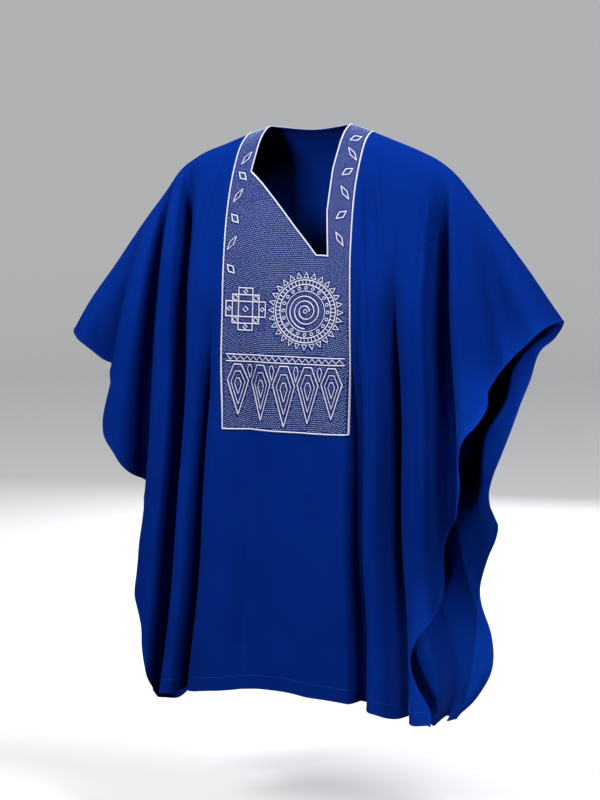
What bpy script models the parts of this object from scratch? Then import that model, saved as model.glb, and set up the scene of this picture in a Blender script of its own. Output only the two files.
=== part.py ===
"""Grand boubou robe with an embroidered chest field, as worn with the arms held a little out.

Metres, +Z up. The origin is the middle of the neck at the height of the shoulder fold, the front faces -Y
and the wearer's left is +X. The robe is one length of cloth folded over the shoulders: a front panel and a
back panel that meet along the shoulder fold, open at the neck, at the hem and down both sides. Each panel
is cut out flat, in "across" (X) and "along" (the way down the cloth from the shoulder fold), and is then
draped: it rolls over the shoulder, falls over the chest or back, and is pushed in and out by its folds.
"""

import bpy
import numpy as np
from mathutils import Vector
from mathutils.geometry import delaunay_2d_cdt

FRONT = -1
BACK = 1

CLOTH_WALL = 0.0016
STITCH_WALL = 0.0012
SEAM_GAP = 0.0003
ROLL_RADIUS = 0.05
PANEL_BOTTOM = -0.660
BACK_NECK_DROP = 0.042
BACK_BAND_WIDTH = 0.056
CUT_LENGTH = 1.4

# How far a fold's flanks are rounded out sideways, at the steepest.
ROUNDING = 0.8

# The net of points: the rows widen from the shoulder fold down, and the outlines have points of their own.
FIRST_ROW = 0.016
ROW_GROWTH = 1.28
ROW_STEP = 0.048
EDGE_STEP = 0.024
# The cloth is netted with its length drawn in, so that the triangles come out long down the folds.
ROW_SQUASH = 0.3
LEAST_MARGIN = 0.0045
WHOLE_NET = 0
SAME_POINT = 1e-6

ROYAL_BLUE = (0.004, 0.030, 0.330)
STITCHED_BLUE = (0.130, 0.170, 0.480)
CLOTH_ROUGHNESS = 0.7


def table(columns, *rows):
    """A table as one array for each named column."""
    return dict(zip(columns.split(), np.array(rows, dtype=float).T))


# The shoulder fold, from the tip of one wing over the neck to the other.
SHOULDER = table(
    "across height",
    (-0.558, -0.466),
    (-0.526, -0.411),
    (-0.455, -0.313),
    (-0.384, -0.213),
    (-0.333, -0.147),
    (-0.298, -0.099),
    (-0.259, -0.069),
    (-0.187, -0.037),
    (-0.133, -0.015),
    (-0.087, 0.000),
    (0.000, 0.008),
    (0.098, 0.008),
    (0.149, -0.008),
    (0.201, -0.027),
    (0.253, -0.047),
    (0.300, -0.070),
    (0.333, -0.096),
    (0.368, -0.136),
    (0.408, -0.186),
    (0.460, -0.252),
    (0.503, -0.308),
    (0.546, -0.368),
    (0.576, -0.409),
)

# How far the cloth stands off the plane of the shoulders, over the trunk and over the arms.
DEPTH = {
    FRONT: table(
        "along trunk arm",
        (0.00, 0.000, 0.000),
        (0.05, 0.040, 0.034),
        (0.10, 0.060, 0.050),
        (0.20, 0.092, 0.068),
        (0.32, 0.120, 0.082),
        (0.46, 0.136, 0.092),
        (0.70, 0.146, 0.098),
        (1.00, 0.157, 0.104),
        (1.35, 0.168, 0.110),
    ),
    BACK: table(
        "along trunk arm",
        (0.00, 0.000, 0.000),
        (0.05, 0.042, 0.034),
        (0.10, 0.066, 0.052),
        (0.20, 0.090, 0.072),
        (0.32, 0.104, 0.086),
        (0.46, 0.110, 0.094),
        (0.70, 0.116, 0.100),
        (1.00, 0.128, 0.106),
        (1.35, 0.142, 0.112),
    ),
}
TRUNK_HALF = 0.10
ARM_FROM = 0.36

# One row for each ridge or valley: where it lies at three places along the cloth, how far it stands out
# (or in, below zero) half way down and at the hem, and how far down from the shoulder fold it begins.
FOLD_STATIONS = (0.0, 0.6, 1.2)
FOLD_COLUMNS = "top middle low out_middle out_low begins"
FOLDS = {
    FRONT: table(
        FOLD_COLUMNS,
        (-0.545, -0.640, -0.720, 0.000, 0.000, 0.02),
        (-0.455, -0.545, -0.620, -0.006, -0.006, 0.02),
        (-0.372, -0.450, -0.520, 0.024, 0.024, 0.03),
        (-0.340, -0.392, -0.440, -0.024, -0.024, 0.03),
        (-0.302, -0.324, -0.388, 0.026, 0.026, 0.03),
        (-0.276, -0.287, -0.338, -0.046, -0.050, 0.02),
        (-0.222, -0.238, -0.297, 0.020, 0.030, 0.14),
        (-0.172, -0.199, -0.245, -0.016, -0.028, 0.34),
        (-0.125, -0.152, -0.190, 0.006, 0.010, 0.40),
        (-0.066, -0.088, -0.108, -0.002, -0.004, 0.40),
        (0.004, 0.000, 0.010, 0.004, 0.008, 0.40),
        (0.066, 0.078, 0.098, 0.006, 0.012, 0.40),
        (0.120, 0.137, 0.151, -0.014, -0.026, 0.46),
        (0.172, 0.179, 0.212, 0.022, 0.032, 0.18),
        (0.226, 0.216, 0.246, -0.030, -0.040, 0.16),
        (0.262, 0.286, 0.306, 0.022, 0.028, 0.12),
        (0.292, 0.321, 0.342, -0.048, -0.048, 0.02),
        (0.322, 0.412, 0.490, 0.026, 0.026, 0.03),
        (0.392, 0.488, 0.570, -0.012, -0.012, 0.04),
        (0.470, 0.570, 0.650, 0.004, 0.004, 0.04),
        (0.560, 0.660, 0.740, 0.000, 0.000, 0.02),
    ),
    BACK: table(
        FOLD_COLUMNS,
        (-0.545, -0.640, -0.720, 0.000, 0.000, 0.02),
        (-0.440, -0.520, -0.600, -0.006, -0.006, 0.02),
        (-0.365, -0.432, -0.490, 0.020, 0.020, 0.03),
        (-0.318, -0.372, -0.410, -0.028, -0.030, 0.03),
        (-0.268, -0.305, -0.345, 0.026, 0.034, 0.05),
        (-0.212, -0.244, -0.282, -0.030, -0.042, 0.10),
        (-0.158, -0.180, -0.214, 0.016, 0.032, 0.20),
        (-0.102, -0.112, -0.140, -0.012, -0.030, 0.28),
        (-0.040, -0.040, -0.052, 0.008, 0.028, 0.32),
        (0.022, 0.030, 0.036, -0.008, -0.026, 0.32),
        (0.088, 0.102, 0.106, 0.014, 0.030, 0.26),
        (0.150, 0.168, 0.182, -0.016, -0.110, 0.18),
        (0.206, 0.230, 0.218, 0.024, 0.020, 0.10),
        (0.310, 0.342, 0.258, -0.036, -0.066, 0.03),
        (0.365, 0.392, 0.350, 0.014, 0.012, 0.03),
        (0.430, 0.460, 0.430, -0.004, -0.004, 0.03),
        (0.560, 0.660, 0.740, 0.000, 0.000, 0.02),
    ),
}
FOLD_GROWTH = 0.34
STEPS_BETWEEN_FOLDS = {FRONT: 4, BACK: 3}

# The free edges from the tip of each wing down to the bottom corner, as the robe is seen from the front.
EDGES = {
    (FRONT, "right"): table(
        "across height",
        (-0.558, -0.466),
        (-0.513, -0.491),
        (-0.476, -0.526),
        (-0.430, -0.554),
        (-0.424, -0.570),
        (-0.430, -0.600),
        (-0.442, -0.660),
        (-0.439, -0.690),
        (-0.425, -0.725),
        (-0.396, -0.780),
        (-0.362, -0.818),
        (-0.347, -0.842),
        (-0.350, -0.885),
        (-0.367, -0.950),
        (-0.382, -1.008),
        (-0.378, -1.048),
        (-0.362, -1.082),
        (-0.353, -1.120),
        (-0.352, -1.180),
        (-0.347, -1.240),
        (-0.340, -1.296),
    ),
    (FRONT, "left"): table(
        "across height",
        (0.576, -0.409),
        (0.562, -0.411),
        (0.537, -0.429),
        (0.511, -0.457),
        (0.446, -0.526),
        (0.431, -0.560),
        (0.433, -0.586),
        (0.420, -0.616),
        (0.400, -0.650),
        (0.384, -0.700),
        (0.382, -0.735),
        (0.388, -0.767),
        (0.381, -0.801),
        (0.358, -0.842),
        (0.336, -0.888),
        (0.331, -0.925),
        (0.334, -0.980),
        (0.332, -1.022),
        (0.324, -1.052),
        (0.304, -1.090),
        (0.290, -1.126),
        (0.283, -1.160),
        (0.292, -1.195),
        (0.305, -1.232),
        (0.312, -1.270),
        (0.315, -1.298),
    ),
    (BACK, "right"): table(
        "across height",
        (-0.558, -0.466),
        (-0.522, -0.500),
        (-0.455, -0.570),
        (-0.435, -0.660),
        (-0.400, -0.750),
        (-0.374, -0.840),
        (-0.374, -0.930),
        (-0.384, -1.020),
        (-0.398, -1.120),
        (-0.416, -1.190),
        (-0.429, -1.250),
        (-0.426, -1.290),
        (-0.412, -1.322),
        (-0.395, -1.352),
    ),
    (BACK, "left"): table(
        "across height",
        (0.576, -0.409),
        (0.566, -0.427),
        (0.546, -0.455),
        (0.514, -0.484),
        (0.488, -0.559),
        (0.463, -0.634),
        (0.425, -0.725),
        (0.402, -0.785),
        (0.396, -0.815),
        (0.404, -0.855),
        (0.422, -0.884),
        (0.419, -0.908),
        (0.399, -0.962),
        (0.384, -1.020),
        (0.380, -1.065),
        (0.378, -1.130),
        (0.372, -1.200),
        (0.362, -1.260),
        (0.345, -1.310),
        (0.325, -1.340),
    ),
}

HEMS = {
    FRONT: table(
        "across height",
        (-0.340, -1.296),
        (-0.300, -1.274),
        (-0.250, -1.268),
        (-0.190, -1.255),
        (-0.100, -1.244),
        (-0.020, -1.237),
        (0.060, -1.246),
        (0.130, -1.252),
        (0.173, -1.262),
        (0.210, -1.275),
        (0.245, -1.294),
        (0.280, -1.302),
        (0.315, -1.298),
    ),
    BACK: table(
        "across height",
        (-0.395, -1.352),
        (-0.365, -1.366),
        (-0.340, -1.340),
        (-0.300, -1.306),
        (-0.240, -1.284),
        (-0.150, -1.269),
        (-0.050, -1.262),
        (0.050, -1.262),
        (0.130, -1.280),
        (0.175, -1.326),
        (0.210, -1.360),
        (0.260, -1.358),
        (0.300, -1.350),
        (0.325, -1.340),
    ),
}

# Low on the wearer's left the back panel swings out in a lobe beside its edge, and hides that edge. The
# lobe follows part * (1 - part)^2 across its width, which is 4 / 27 at its highest.
LOBE_WIDTH = 0.24
LOBE_SCALE = 27 / 4
LOBE = table(
    "height reach",
    (-1.35, 0.050),
    (-1.29, 0.082),
    (-1.22, 0.106),
    (-1.15, 0.098),
    (-1.05, 0.054),
    (-0.95, 0.022),
    (-0.85, 0.000),
)

# The neck: down the inside of one strip, along the slanted front, and up the other strip.
NECK_FRONT = table(
    "across along",
    (-0.087, 0.000),
    (-0.109, 0.128),
    (0.055, 0.326),
    (0.078, 0.326),
    (0.071, 0.230),
    (0.076, 0.136),
    (0.098, 0.000),
)

# The outer sides of the embroidered field, from the shoulder fold to its bottom.
FIELD_SIDES = table(
    "along right left",
    (0.00, -0.134, 0.149),
    (0.08, -0.151, 0.139),
    (0.17, -0.161, 0.131),
    (0.30, -0.163, 0.131),
    (0.45, -0.160, 0.135),
    (0.71, -0.157, 0.135),
)


def blend(value, low, high):
    """0 below low, 1 above high and a smooth ramp between, for low under or over high."""
    ramp = np.clip((value - low) / (high - low), 0, 1)
    return ramp * ramp * (3 - 2 * ramp)


def through(at, knots, values):
    """The smooth curve through the values at the knots, which rise."""
    slopes = np.gradient(values, knots)
    span = np.clip(np.searchsorted(knots, at) - 1, 0, len(knots) - 2)
    width = knots[span + 1] - knots[span]
    part = np.clip((at - knots[span]) / width, 0, 1)
    start = values[span] * (1 + 2 * part) * (1 - part) ** 2 + slopes[span] * width * part * (1 - part) ** 2
    end = values[span + 1] * part**2 * (3 - 2 * part) - slopes[span + 1] * width * part**2 * (1 - part)
    return start + end


def smooth_route(route, step):
    """Points about a step apart on the smooth curve through a route's own points."""
    points = np.stack([route[name] for name in route], axis=1)
    lengths = np.concatenate([[0], np.cumsum(np.linalg.norm(np.diff(points, axis=0), axis=1))])
    at = np.linspace(0, lengths[-1], int(np.ceil(lengths[-1] / step)) + 1)
    return np.stack([through(at, lengths, column) for column in points.T], axis=1)


def shoulder_height(across):
    return through(across, SHOULDER["across"], SHOULDER["height"])


def fall(along):
    """How far the cloth has come down, a given way along from the shoulder fold."""
    return np.hypot(along, ROLL_RADIUS) - ROLL_RADIUS


def along_of(across, height):
    """The way along the cloth to a height: the inverse of fall."""
    drop = np.maximum(shoulder_height(across) - height, 0)
    return np.sqrt((drop + ROLL_RADIUS) ** 2 - ROLL_RADIUS**2)


def fold_places(side, along):
    """Where each fold lies across, at each place along: one row for each fold."""
    folds = FOLDS[side]
    part = np.asarray(along) / FOLD_STATIONS[1]
    top, middle, low = (folds[name][:, None] for name in ("top", "middle", "low"))
    bend = (top - 2 * middle + low) / 2
    return top + (middle - top - bend) * part + bend * part**2


def fold_heights(side, along):
    """How far each fold stands out, at each place along: one row for each fold."""
    folds = FOLDS[side]
    grown = blend(along, folds["begins"][:, None], folds["begins"][:, None] + FOLD_GROWTH)
    lower = blend(along, FOLD_STATIONS[1], FOLD_STATIONS[2])
    out = folds["out_middle"][:, None] + (folds["out_low"] - folds["out_middle"])[:, None] * lower
    return out * grown


def folds_at(side, across, along):
    """How far the folds push the cloth out, and how far they round it sideways."""
    places = fold_places(side, along)
    heights = fold_heights(side, along)
    number = np.clip((places <= across).sum(axis=0) - 1, 0, len(places) - 2)
    each = np.arange(len(across))
    width = places[number + 1, each] - places[number, each]
    part = np.clip((across - places[number, each]) / width, 0, 1)
    first, second = heights[number, each], heights[number + 1, each]
    out = first + (second - first) * (1 - np.cos(np.pi * part)) / 2
    steepness = np.abs(second - first) / width
    roundness = ROUNDING * (1 - np.exp(-steepness))
    return out, roundness * width * np.sin(2 * np.pi * part) / (2 * np.pi)


def depth_at(side, across, along):
    depths = DEPTH[side]
    trunk = through(along, depths["along"], depths["trunk"])
    arm = through(along, depths["along"], depths["arm"])
    return trunk + (arm - trunk) * blend(np.abs(across), TRUNK_HALF, ARM_FROM)


def drape(side, across, along):
    """The points in space of points on the flat cloth."""
    height = shoulder_height(across) - fall(along)
    out, sideways = folds_at(side, across, along)
    depth = depth_at(side, across, along) + out
    across_draped = across + sideways
    if side == BACK:
        edge = EDGES[BACK, "left"]
        inside_edge = np.maximum(np.interp(-height, -edge["height"], edge["across"]) - across, 0)
        part = np.minimum(inside_edge / LOBE_WIDTH, 1)
        reach = np.interp(height, LOBE["height"], LOBE["reach"])
        across_draped += reach * LOBE_SCALE * part * (1 - part) ** 2
    return np.stack([across_draped, side * (depth + SEAM_GAP / 2), height], axis=1)


def outward_normals(side, across, along):
    """The directions out of the cloth, from small steps across and along it."""
    step = 0.0005
    before, after = np.maximum(along - step, 0), along + step
    over = drape(side, across + step, along) - drape(side, across - step, along)
    down = drape(side, across, after) - drape(side, across, before)
    normals = side * np.cross(over, down)
    normals[along == 0, 1] = 0
    return normals / np.linalg.norm(normals, axis=1, keepdims=True)


def rows_along():
    """The places along of the rows of points, closer together where the cloth rolls over the shoulder."""
    rows = [FIRST_ROW]
    step = FIRST_ROW
    while rows[-1] < CUT_LENGTH:
        step = min(step * ROW_GROWTH, ROW_STEP)
        rows.append(rows[-1] + step)
    return np.array(rows)


def columns_across(side, along):
    """Where the columns of points lie across: on every fold, and evenly between two folds."""
    places = fold_places(side, along)
    steps = STEPS_BETWEEN_FOLDS[side]
    numbers = np.arange((len(places) - 1) * steps + 1) / steps
    return np.stack([np.interp(numbers, np.arange(len(places)), column) for column in places.T], axis=1)


def sampled(corners):
    """A chain of straight runs, with points about an edge step apart."""
    points = []
    for start, end in zip(corners[:-1], corners[1:]):
        count = max(1, round(np.linalg.norm(end - start) / EDGE_STEP))
        points += [start + (end - start) * number / count for number in range(count)]
    return np.array(points + [corners[-1]])


def flat(route, step=EDGE_STEP):
    """A route given by across and height, as points on the flat cloth."""
    points = smooth_route(route, step)
    return np.stack([points[:, 0], along_of(points[:, 0], points[:, 1])], axis=1)


def between(side, start, end, along, height=None):
    """The columns' own points between two places across, at one place along or, if given, at a height."""
    places = columns_across(side, np.array([along]))[:, 0]
    places = places[(places > start + LEAST_MARGIN) & (places < end - LEAST_MARGIN)]
    line = np.concatenate([[start], places, [end]])
    alongs = np.full(len(line), along) if height is None else along_of(line, height)
    return np.stack([line, alongs], axis=1)


def joined(*runs):
    """Runs of points end to end as one closed outline, each shared end once."""
    return np.concatenate([run[:-1] for run in runs])


def neck_front():
    return sampled(np.stack([NECK_FRONT["across"], NECK_FRONT["along"]], axis=1))


def back_neck_arc(start, end, drop):
    """The back of the neck from one side to the other, as a flat arc."""
    middle, half = (start + end) / 2, (end - start) / 2
    turns = np.linspace(np.pi, 0, max(9, round(np.pi * half / EDGE_STEP)))
    return np.stack([middle + half * np.cos(turns), drop * np.sin(turns)], axis=1)


def panel_outline(side):
    """The cut of a panel: along the shoulder fold, round the neck, down one side, the hem, up the other."""
    right, left = EDGES[side, "right"], EDGES[side, "left"]
    neck_right, neck_left = NECK_FRONT["across"][0], NECK_FRONT["across"][-1]
    field_right, field_left = FIELD_SIDES["right"][0], FIELD_SIDES["left"][0]
    neck = neck_front() if side == FRONT else back_neck_arc(neck_right, neck_left, BACK_NECK_DROP)
    return joined(
        between(side, right["across"][0], field_right, 0.0),
        between(side, field_right, neck_right, 0.0),
        neck,
        between(side, neck_left, field_left, 0.0),
        between(side, field_left, left["across"][0], 0.0),
        flat(left),
        flat(HEMS[side])[::-1],
        flat(right)[::-1],
    )


def field_outline():
    """The embroidered field of the chest, with the two strips that run up beside the neck."""
    rows = rows_along()
    sides = {}
    for hand in ("right", "left"):
        foot = FIELD_SIDES[hand][-1]
        bottom = float(along_of(np.array([foot]), PANEL_BOTTOM)[0])
        alongs = np.concatenate([[0], rows[rows < bottom - ROW_STEP / 3], [bottom]])
        sides[hand] = np.stack([through(alongs, FIELD_SIDES["along"], FIELD_SIDES[hand]), alongs], axis=1)
        sides[hand][-1, 0] = foot
    middle_of_bottom = sides["right"][-1, 1]
    return joined(
        between(FRONT, FIELD_SIDES["right"][0], NECK_FRONT["across"][0], 0.0),
        neck_front(),
        between(FRONT, NECK_FRONT["across"][-1], FIELD_SIDES["left"][0], 0.0),
        sides["left"],
        between(FRONT, sides["right"][-1, 0], sides["left"][-1, 0], middle_of_bottom, PANEL_BOTTOM)[::-1],
        sides["right"][::-1],
    )


def band_outline():
    """The band that carries the two strips round the back of the neck."""
    neck_right, neck_left = NECK_FRONT["across"][0], NECK_FRONT["across"][-1]
    field_right, field_left = FIELD_SIDES["right"][0], FIELD_SIDES["left"][0]
    return joined(
        between(BACK, field_right, neck_right, 0.0),
        back_neck_arc(neck_right, neck_left, BACK_NECK_DROP),
        between(BACK, neck_left, field_left, 0.0),
        back_neck_arc(field_right, field_left, BACK_NECK_DROP + BACK_BAND_WIDTH)[::-1],
    )


def inside(points, outline):
    """Which points lie inside the outline, and at least the least margin away from it."""
    start, end = outline, np.roll(outline, -1, axis=0)
    px, py = points[:, :1], points[:, 1:]
    crosses = (start[:, 1] > py) != (end[:, 1] > py)
    with np.errstate(divide="ignore", invalid="ignore"):
        where = start[:, 0] + (py - start[:, 1]) * (end - start)[:, 0] / (end - start)[:, 1]
    within = (crosses & (px < where)).sum(axis=1) % 2 == 1
    run = end - start
    part = ((px - start[:, 0]) * run[:, 0] + (py - start[:, 1]) * run[:, 1]) / (run**2).sum(axis=1)
    part = np.clip(part, 0, 1)
    away = np.hypot(px - start[:, 0] - part * run[:, 0], py - start[:, 1] - part * run[:, 1])
    return within, away.min(axis=1) > LEAST_MARGIN


def cut(side, outlines):
    """The flat cloth as triangles, with every outline among their edges, and the triangles in each."""
    squash = np.array([1, ROW_SQUASH])
    rows = rows_along()
    columns = columns_across(side, rows)
    grid = np.stack([columns, np.broadcast_to(rows, columns.shape)], axis=2)
    flat_grid = grid.reshape(-1, 2) * squash
    kept = np.ones(len(flat_grid), dtype=bool)
    for number, outline in enumerate(outlines):
        within, clear = inside(flat_grid, outline * squash)
        kept &= clear & within if number == 0 else clear
    numbers = np.full(len(flat_grid), -1)
    numbers[kept] = np.arange(kept.sum())
    numbers = numbers.reshape(grid.shape[:2])
    points = [tuple(point) for point in flat_grid[kept]]
    down = zip(numbers[:, :-1].ravel(), numbers[:, 1:].ravel())
    over = zip(numbers[:-1].ravel(), numbers[1:].ravel())
    edges = [(int(a), int(b)) for a, b in (*down, *over) if a >= 0 and b >= 0]
    faces = []
    for outline in outlines:
        faces.append(list(range(len(points), len(points) + len(outline))))
        points += [tuple(point) for point in outline * squash]
    vectors = [Vector(point) for point in points]
    net, _, triangles, _, _, owners = delaunay_2d_cdt(vectors, edges, faces, WHOLE_NET, SAME_POINT, True)
    places = np.array([tuple(point) for point in net]) / squash
    owned = list(zip(triangles, owners))
    return places, [[face for face, owner in owned if number in owner] for number in range(len(outlines))]


def cloth_piece(name, side, places, triangles, gap, wall, colour):
    """A closed wall over some of the flat triangles, draped and moved out from the panel's face by a gap."""
    used, index = np.unique(np.array(triangles), return_inverse=True)
    triangles = index.reshape(-1, 3)
    if side == FRONT:
        triangles = triangles[:, ::-1]
    across, along = places[used].T
    along = np.maximum(along, 0)
    middle = drape(side, across, along)
    normals = outward_normals(side, across, along)
    outer = middle + normals * (gap + wall if gap else 0)
    inner = outer - normals * wall
    ends = np.concatenate([triangles[:, [0, 1]], triangles[:, [1, 2]], triangles[:, [2, 0]]])
    sides = {(a, b): None for a, b in ends.tolist()}
    rim = [(b, a, a + len(used), b + len(used)) for a, b in sides if (b, a) not in sides]
    faces = triangles.tolist() + (triangles[:, ::-1] + len(used)).tolist() + rim
    mesh = bpy.data.meshes.new(name)
    mesh.from_pydata(np.concatenate([outer, inner]).tolist(), [], faces)
    mesh.materials.append(material(name, colour))
    piece = bpy.data.objects.new(name, mesh)
    bpy.context.scene.collection.objects.link(piece)
    return piece


def material(name, colour):
    made = bpy.data.materials.new(name)
    made.use_nodes = True
    shader = made.node_tree.nodes["Principled BSDF"]
    shader.inputs["Base Color"].default_value = (*colour, 1)
    shader.inputs["Roughness"].default_value = CLOTH_ROUGHNESS
    shader.inputs["Metallic"].default_value = 0
    return made


def main():
    for old in list(bpy.data.objects):
        bpy.data.objects.remove(old)
    places, (panel, field) = cut(FRONT, [panel_outline(FRONT), field_outline()])
    cloth_piece("front_panel", FRONT, places, panel, 0, CLOTH_WALL, ROYAL_BLUE)
    cloth_piece("chest_embroidery", FRONT, places, field, SEAM_GAP, STITCH_WALL, STITCHED_BLUE)
    places, (panel, band) = cut(BACK, [panel_outline(BACK), band_outline()])
    cloth_piece("back_panel", BACK, places, panel, 0, CLOTH_WALL, ROYAL_BLUE)
    cloth_piece("back_neck_band", BACK, places, band, SEAM_GAP, STITCH_WALL, STITCHED_BLUE)


main()
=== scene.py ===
"""Grand boubou robe: its cloth, hems, chest embroidery, finishes, light and camera.

Metres, +Z up. The origin is the middle of the neck at the height of the shoulder fold, the front faces -Y
and the wearer's left is +X. Every shape is worked out on the flat cloth, in "across" (X) and "along" (the
way down the cloth from the shoulder fold), and is then draped: it rolls over the shoulder, falls over the
chest or back, and is pushed in and out by its folds and creases.
"""

from math import cos, hypot, pi, radians, sin

import bpy
import numpy as np
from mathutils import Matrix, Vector

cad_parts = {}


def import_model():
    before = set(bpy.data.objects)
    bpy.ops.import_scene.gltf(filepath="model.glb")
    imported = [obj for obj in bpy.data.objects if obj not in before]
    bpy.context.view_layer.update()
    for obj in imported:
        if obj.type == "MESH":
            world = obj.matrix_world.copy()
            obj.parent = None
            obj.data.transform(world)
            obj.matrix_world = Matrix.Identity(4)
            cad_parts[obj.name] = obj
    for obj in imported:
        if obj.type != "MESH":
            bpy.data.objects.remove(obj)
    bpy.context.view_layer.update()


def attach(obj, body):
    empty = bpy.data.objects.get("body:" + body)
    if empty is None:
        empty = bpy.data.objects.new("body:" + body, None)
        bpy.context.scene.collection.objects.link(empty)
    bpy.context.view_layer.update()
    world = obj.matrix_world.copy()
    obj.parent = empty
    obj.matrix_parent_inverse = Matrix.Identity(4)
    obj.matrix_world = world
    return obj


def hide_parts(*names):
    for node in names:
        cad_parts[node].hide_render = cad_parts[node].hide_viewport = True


FRONT = -1
BACK = 1

# The cloth, as in the frame: how round it rolls over the shoulder, the bottom of the stitched field, the neck
# and its band behind, and where across the trunk's depth begins to turn into the arms' and where it has.
ROLL_RADIUS = 0.05
PANEL_BOTTOM = -0.660
BACK_NECK_DROP = 0.042
BACK_BAND_WIDTH = 0.056
TRUNK_HALF = 0.10
ARM_FROM = 0.36

# How finely edges are drawn, and the small step on the cloth that gives its direction.
EDGE_STEP = 0.004
LAY_STEP = 0.0005

# What is laid on what: the cloth's own wall, then the stitched ground, then the cords and stitches on it.
CLOTH_WALL = 0.0011
GROUND_LOW = 0.0003
GROUND_TOP = 0.0009

# Hems: the roll along the free edges, and the row of stitches with their length, width and height.
ROLL_HALF = 0.0013
ROLL_SIDES = 8
HEM_STITCH_RISE = 0.030
HEM_STITCH = (0.0026, 0.0007, 0.0005)
HEM_STITCH_STEP = 0.0036
HEM_STITCH_LIFT = 0.0001
HEM_STITCH_END = 0.006

# Cords: half width and height. Every cord has a bare margin, from its middle line, in the stitched ground.
OUTLINE_CORD = (0.0018, 0.0014)
MOTIF_CORD = (0.0015, 0.0013)
LOZENGE_CORD = (0.0014, 0.0012)
FINE_CORD = (0.0011, 0.0011)
CORD_SINK = 0.0003
CORD_BEND = 6
CORD_STEP = 0.003
FINE_CORD_STEP = 0.0025
BARE_MARGIN = 0.0040

# Ground stitches: length, width and height, how they are set out, and how much their places and turns vary.
# An arc is three stitches about its middle.
ARC_STEP = (0.0056, 0.0046)
ARC_PLACES = np.array([(-0.00135, 0.00035), (0.0, -0.00040), (0.00135, 0.00035)])
ARC_LEANS = np.radians([-44, 0, 44])
ARC_STITCH = (0.0022, 0.0011, 0.0007)
ARC_STRAY = 0.00012
ARC_TURN_STRAY = 0.10
STIPPLE_STEP = (0.0024, 0.0024 * 0.87)
STIPPLE_STITCH = (0.0015, 0.0008, 0.0006)
STIPPLE_STRAY = 0.00035
STITCH_AREA = (0.17, 0.73)

# A stitch is a lens: four points round it, then its crown and its foot, each risen by a share of its height.
LENS = np.array([(0, 1, 4), (1, 2, 4), (2, 3, 4), (3, 0, 4), (1, 0, 5), (2, 1, 5), (3, 2, 5), (0, 3, 5)])
LENS_RISE = np.array([0, 0, 0, 0, 1, -0.5])

# The fine stipple fills the strips down to these places along the cloth, and on the wearer's left it starts a
# little inside the slit.
FINE_ABOVE = {"right": 0.20, "left": 0.42}
FINE_INSIDE_SLIT = 0.004

# The raster of the flat field, which tells where stitches keep clear of cords.
RASTER_START = np.array([-0.20, -0.02])
RASTER_STEP = 0.0005
RASTER_SIZE = (800, 1560)


def table(columns, *rows):
    """A table as one array for each named column."""
    return dict(zip(columns.split(), np.array(rows, dtype=float).T))


# The shoulder fold, from the tip of one wing over the neck to the other.
SHOULDER = table(
    "across height",
    (-0.558, -0.466),
    (-0.526, -0.411),
    (-0.455, -0.313),
    (-0.384, -0.213),
    (-0.333, -0.147),
    (-0.298, -0.099),
    (-0.259, -0.069),
    (-0.187, -0.037),
    (-0.133, -0.015),
    (-0.087, 0.000),
    (0.000, 0.008),
    (0.098, 0.008),
    (0.149, -0.008),
    (0.201, -0.027),
    (0.253, -0.047),
    (0.300, -0.070),
    (0.333, -0.096),
    (0.368, -0.136),
    (0.408, -0.186),
    (0.460, -0.252),
    (0.503, -0.308),
    (0.546, -0.368),
    (0.576, -0.409),
)

# How far the cloth stands off the plane of the shoulders, over the trunk and over the arms.
DEPTH = {
    FRONT: table(
        "along trunk arm",
        (0.00, 0.000, 0.000),
        (0.05, 0.040, 0.034),
        (0.10, 0.060, 0.050),
        (0.20, 0.092, 0.068),
        (0.32, 0.120, 0.082),
        (0.46, 0.136, 0.092),
        (0.70, 0.146, 0.098),
        (1.00, 0.157, 0.104),
        (1.35, 0.168, 0.110),
    ),
    BACK: table(
        "along trunk arm",
        (0.00, 0.000, 0.000),
        (0.05, 0.042, 0.034),
        (0.10, 0.066, 0.052),
        (0.20, 0.090, 0.072),
        (0.32, 0.104, 0.086),
        (0.46, 0.110, 0.094),
        (0.70, 0.116, 0.100),
        (1.00, 0.128, 0.106),
        (1.35, 0.142, 0.112),
    ),
}

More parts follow.
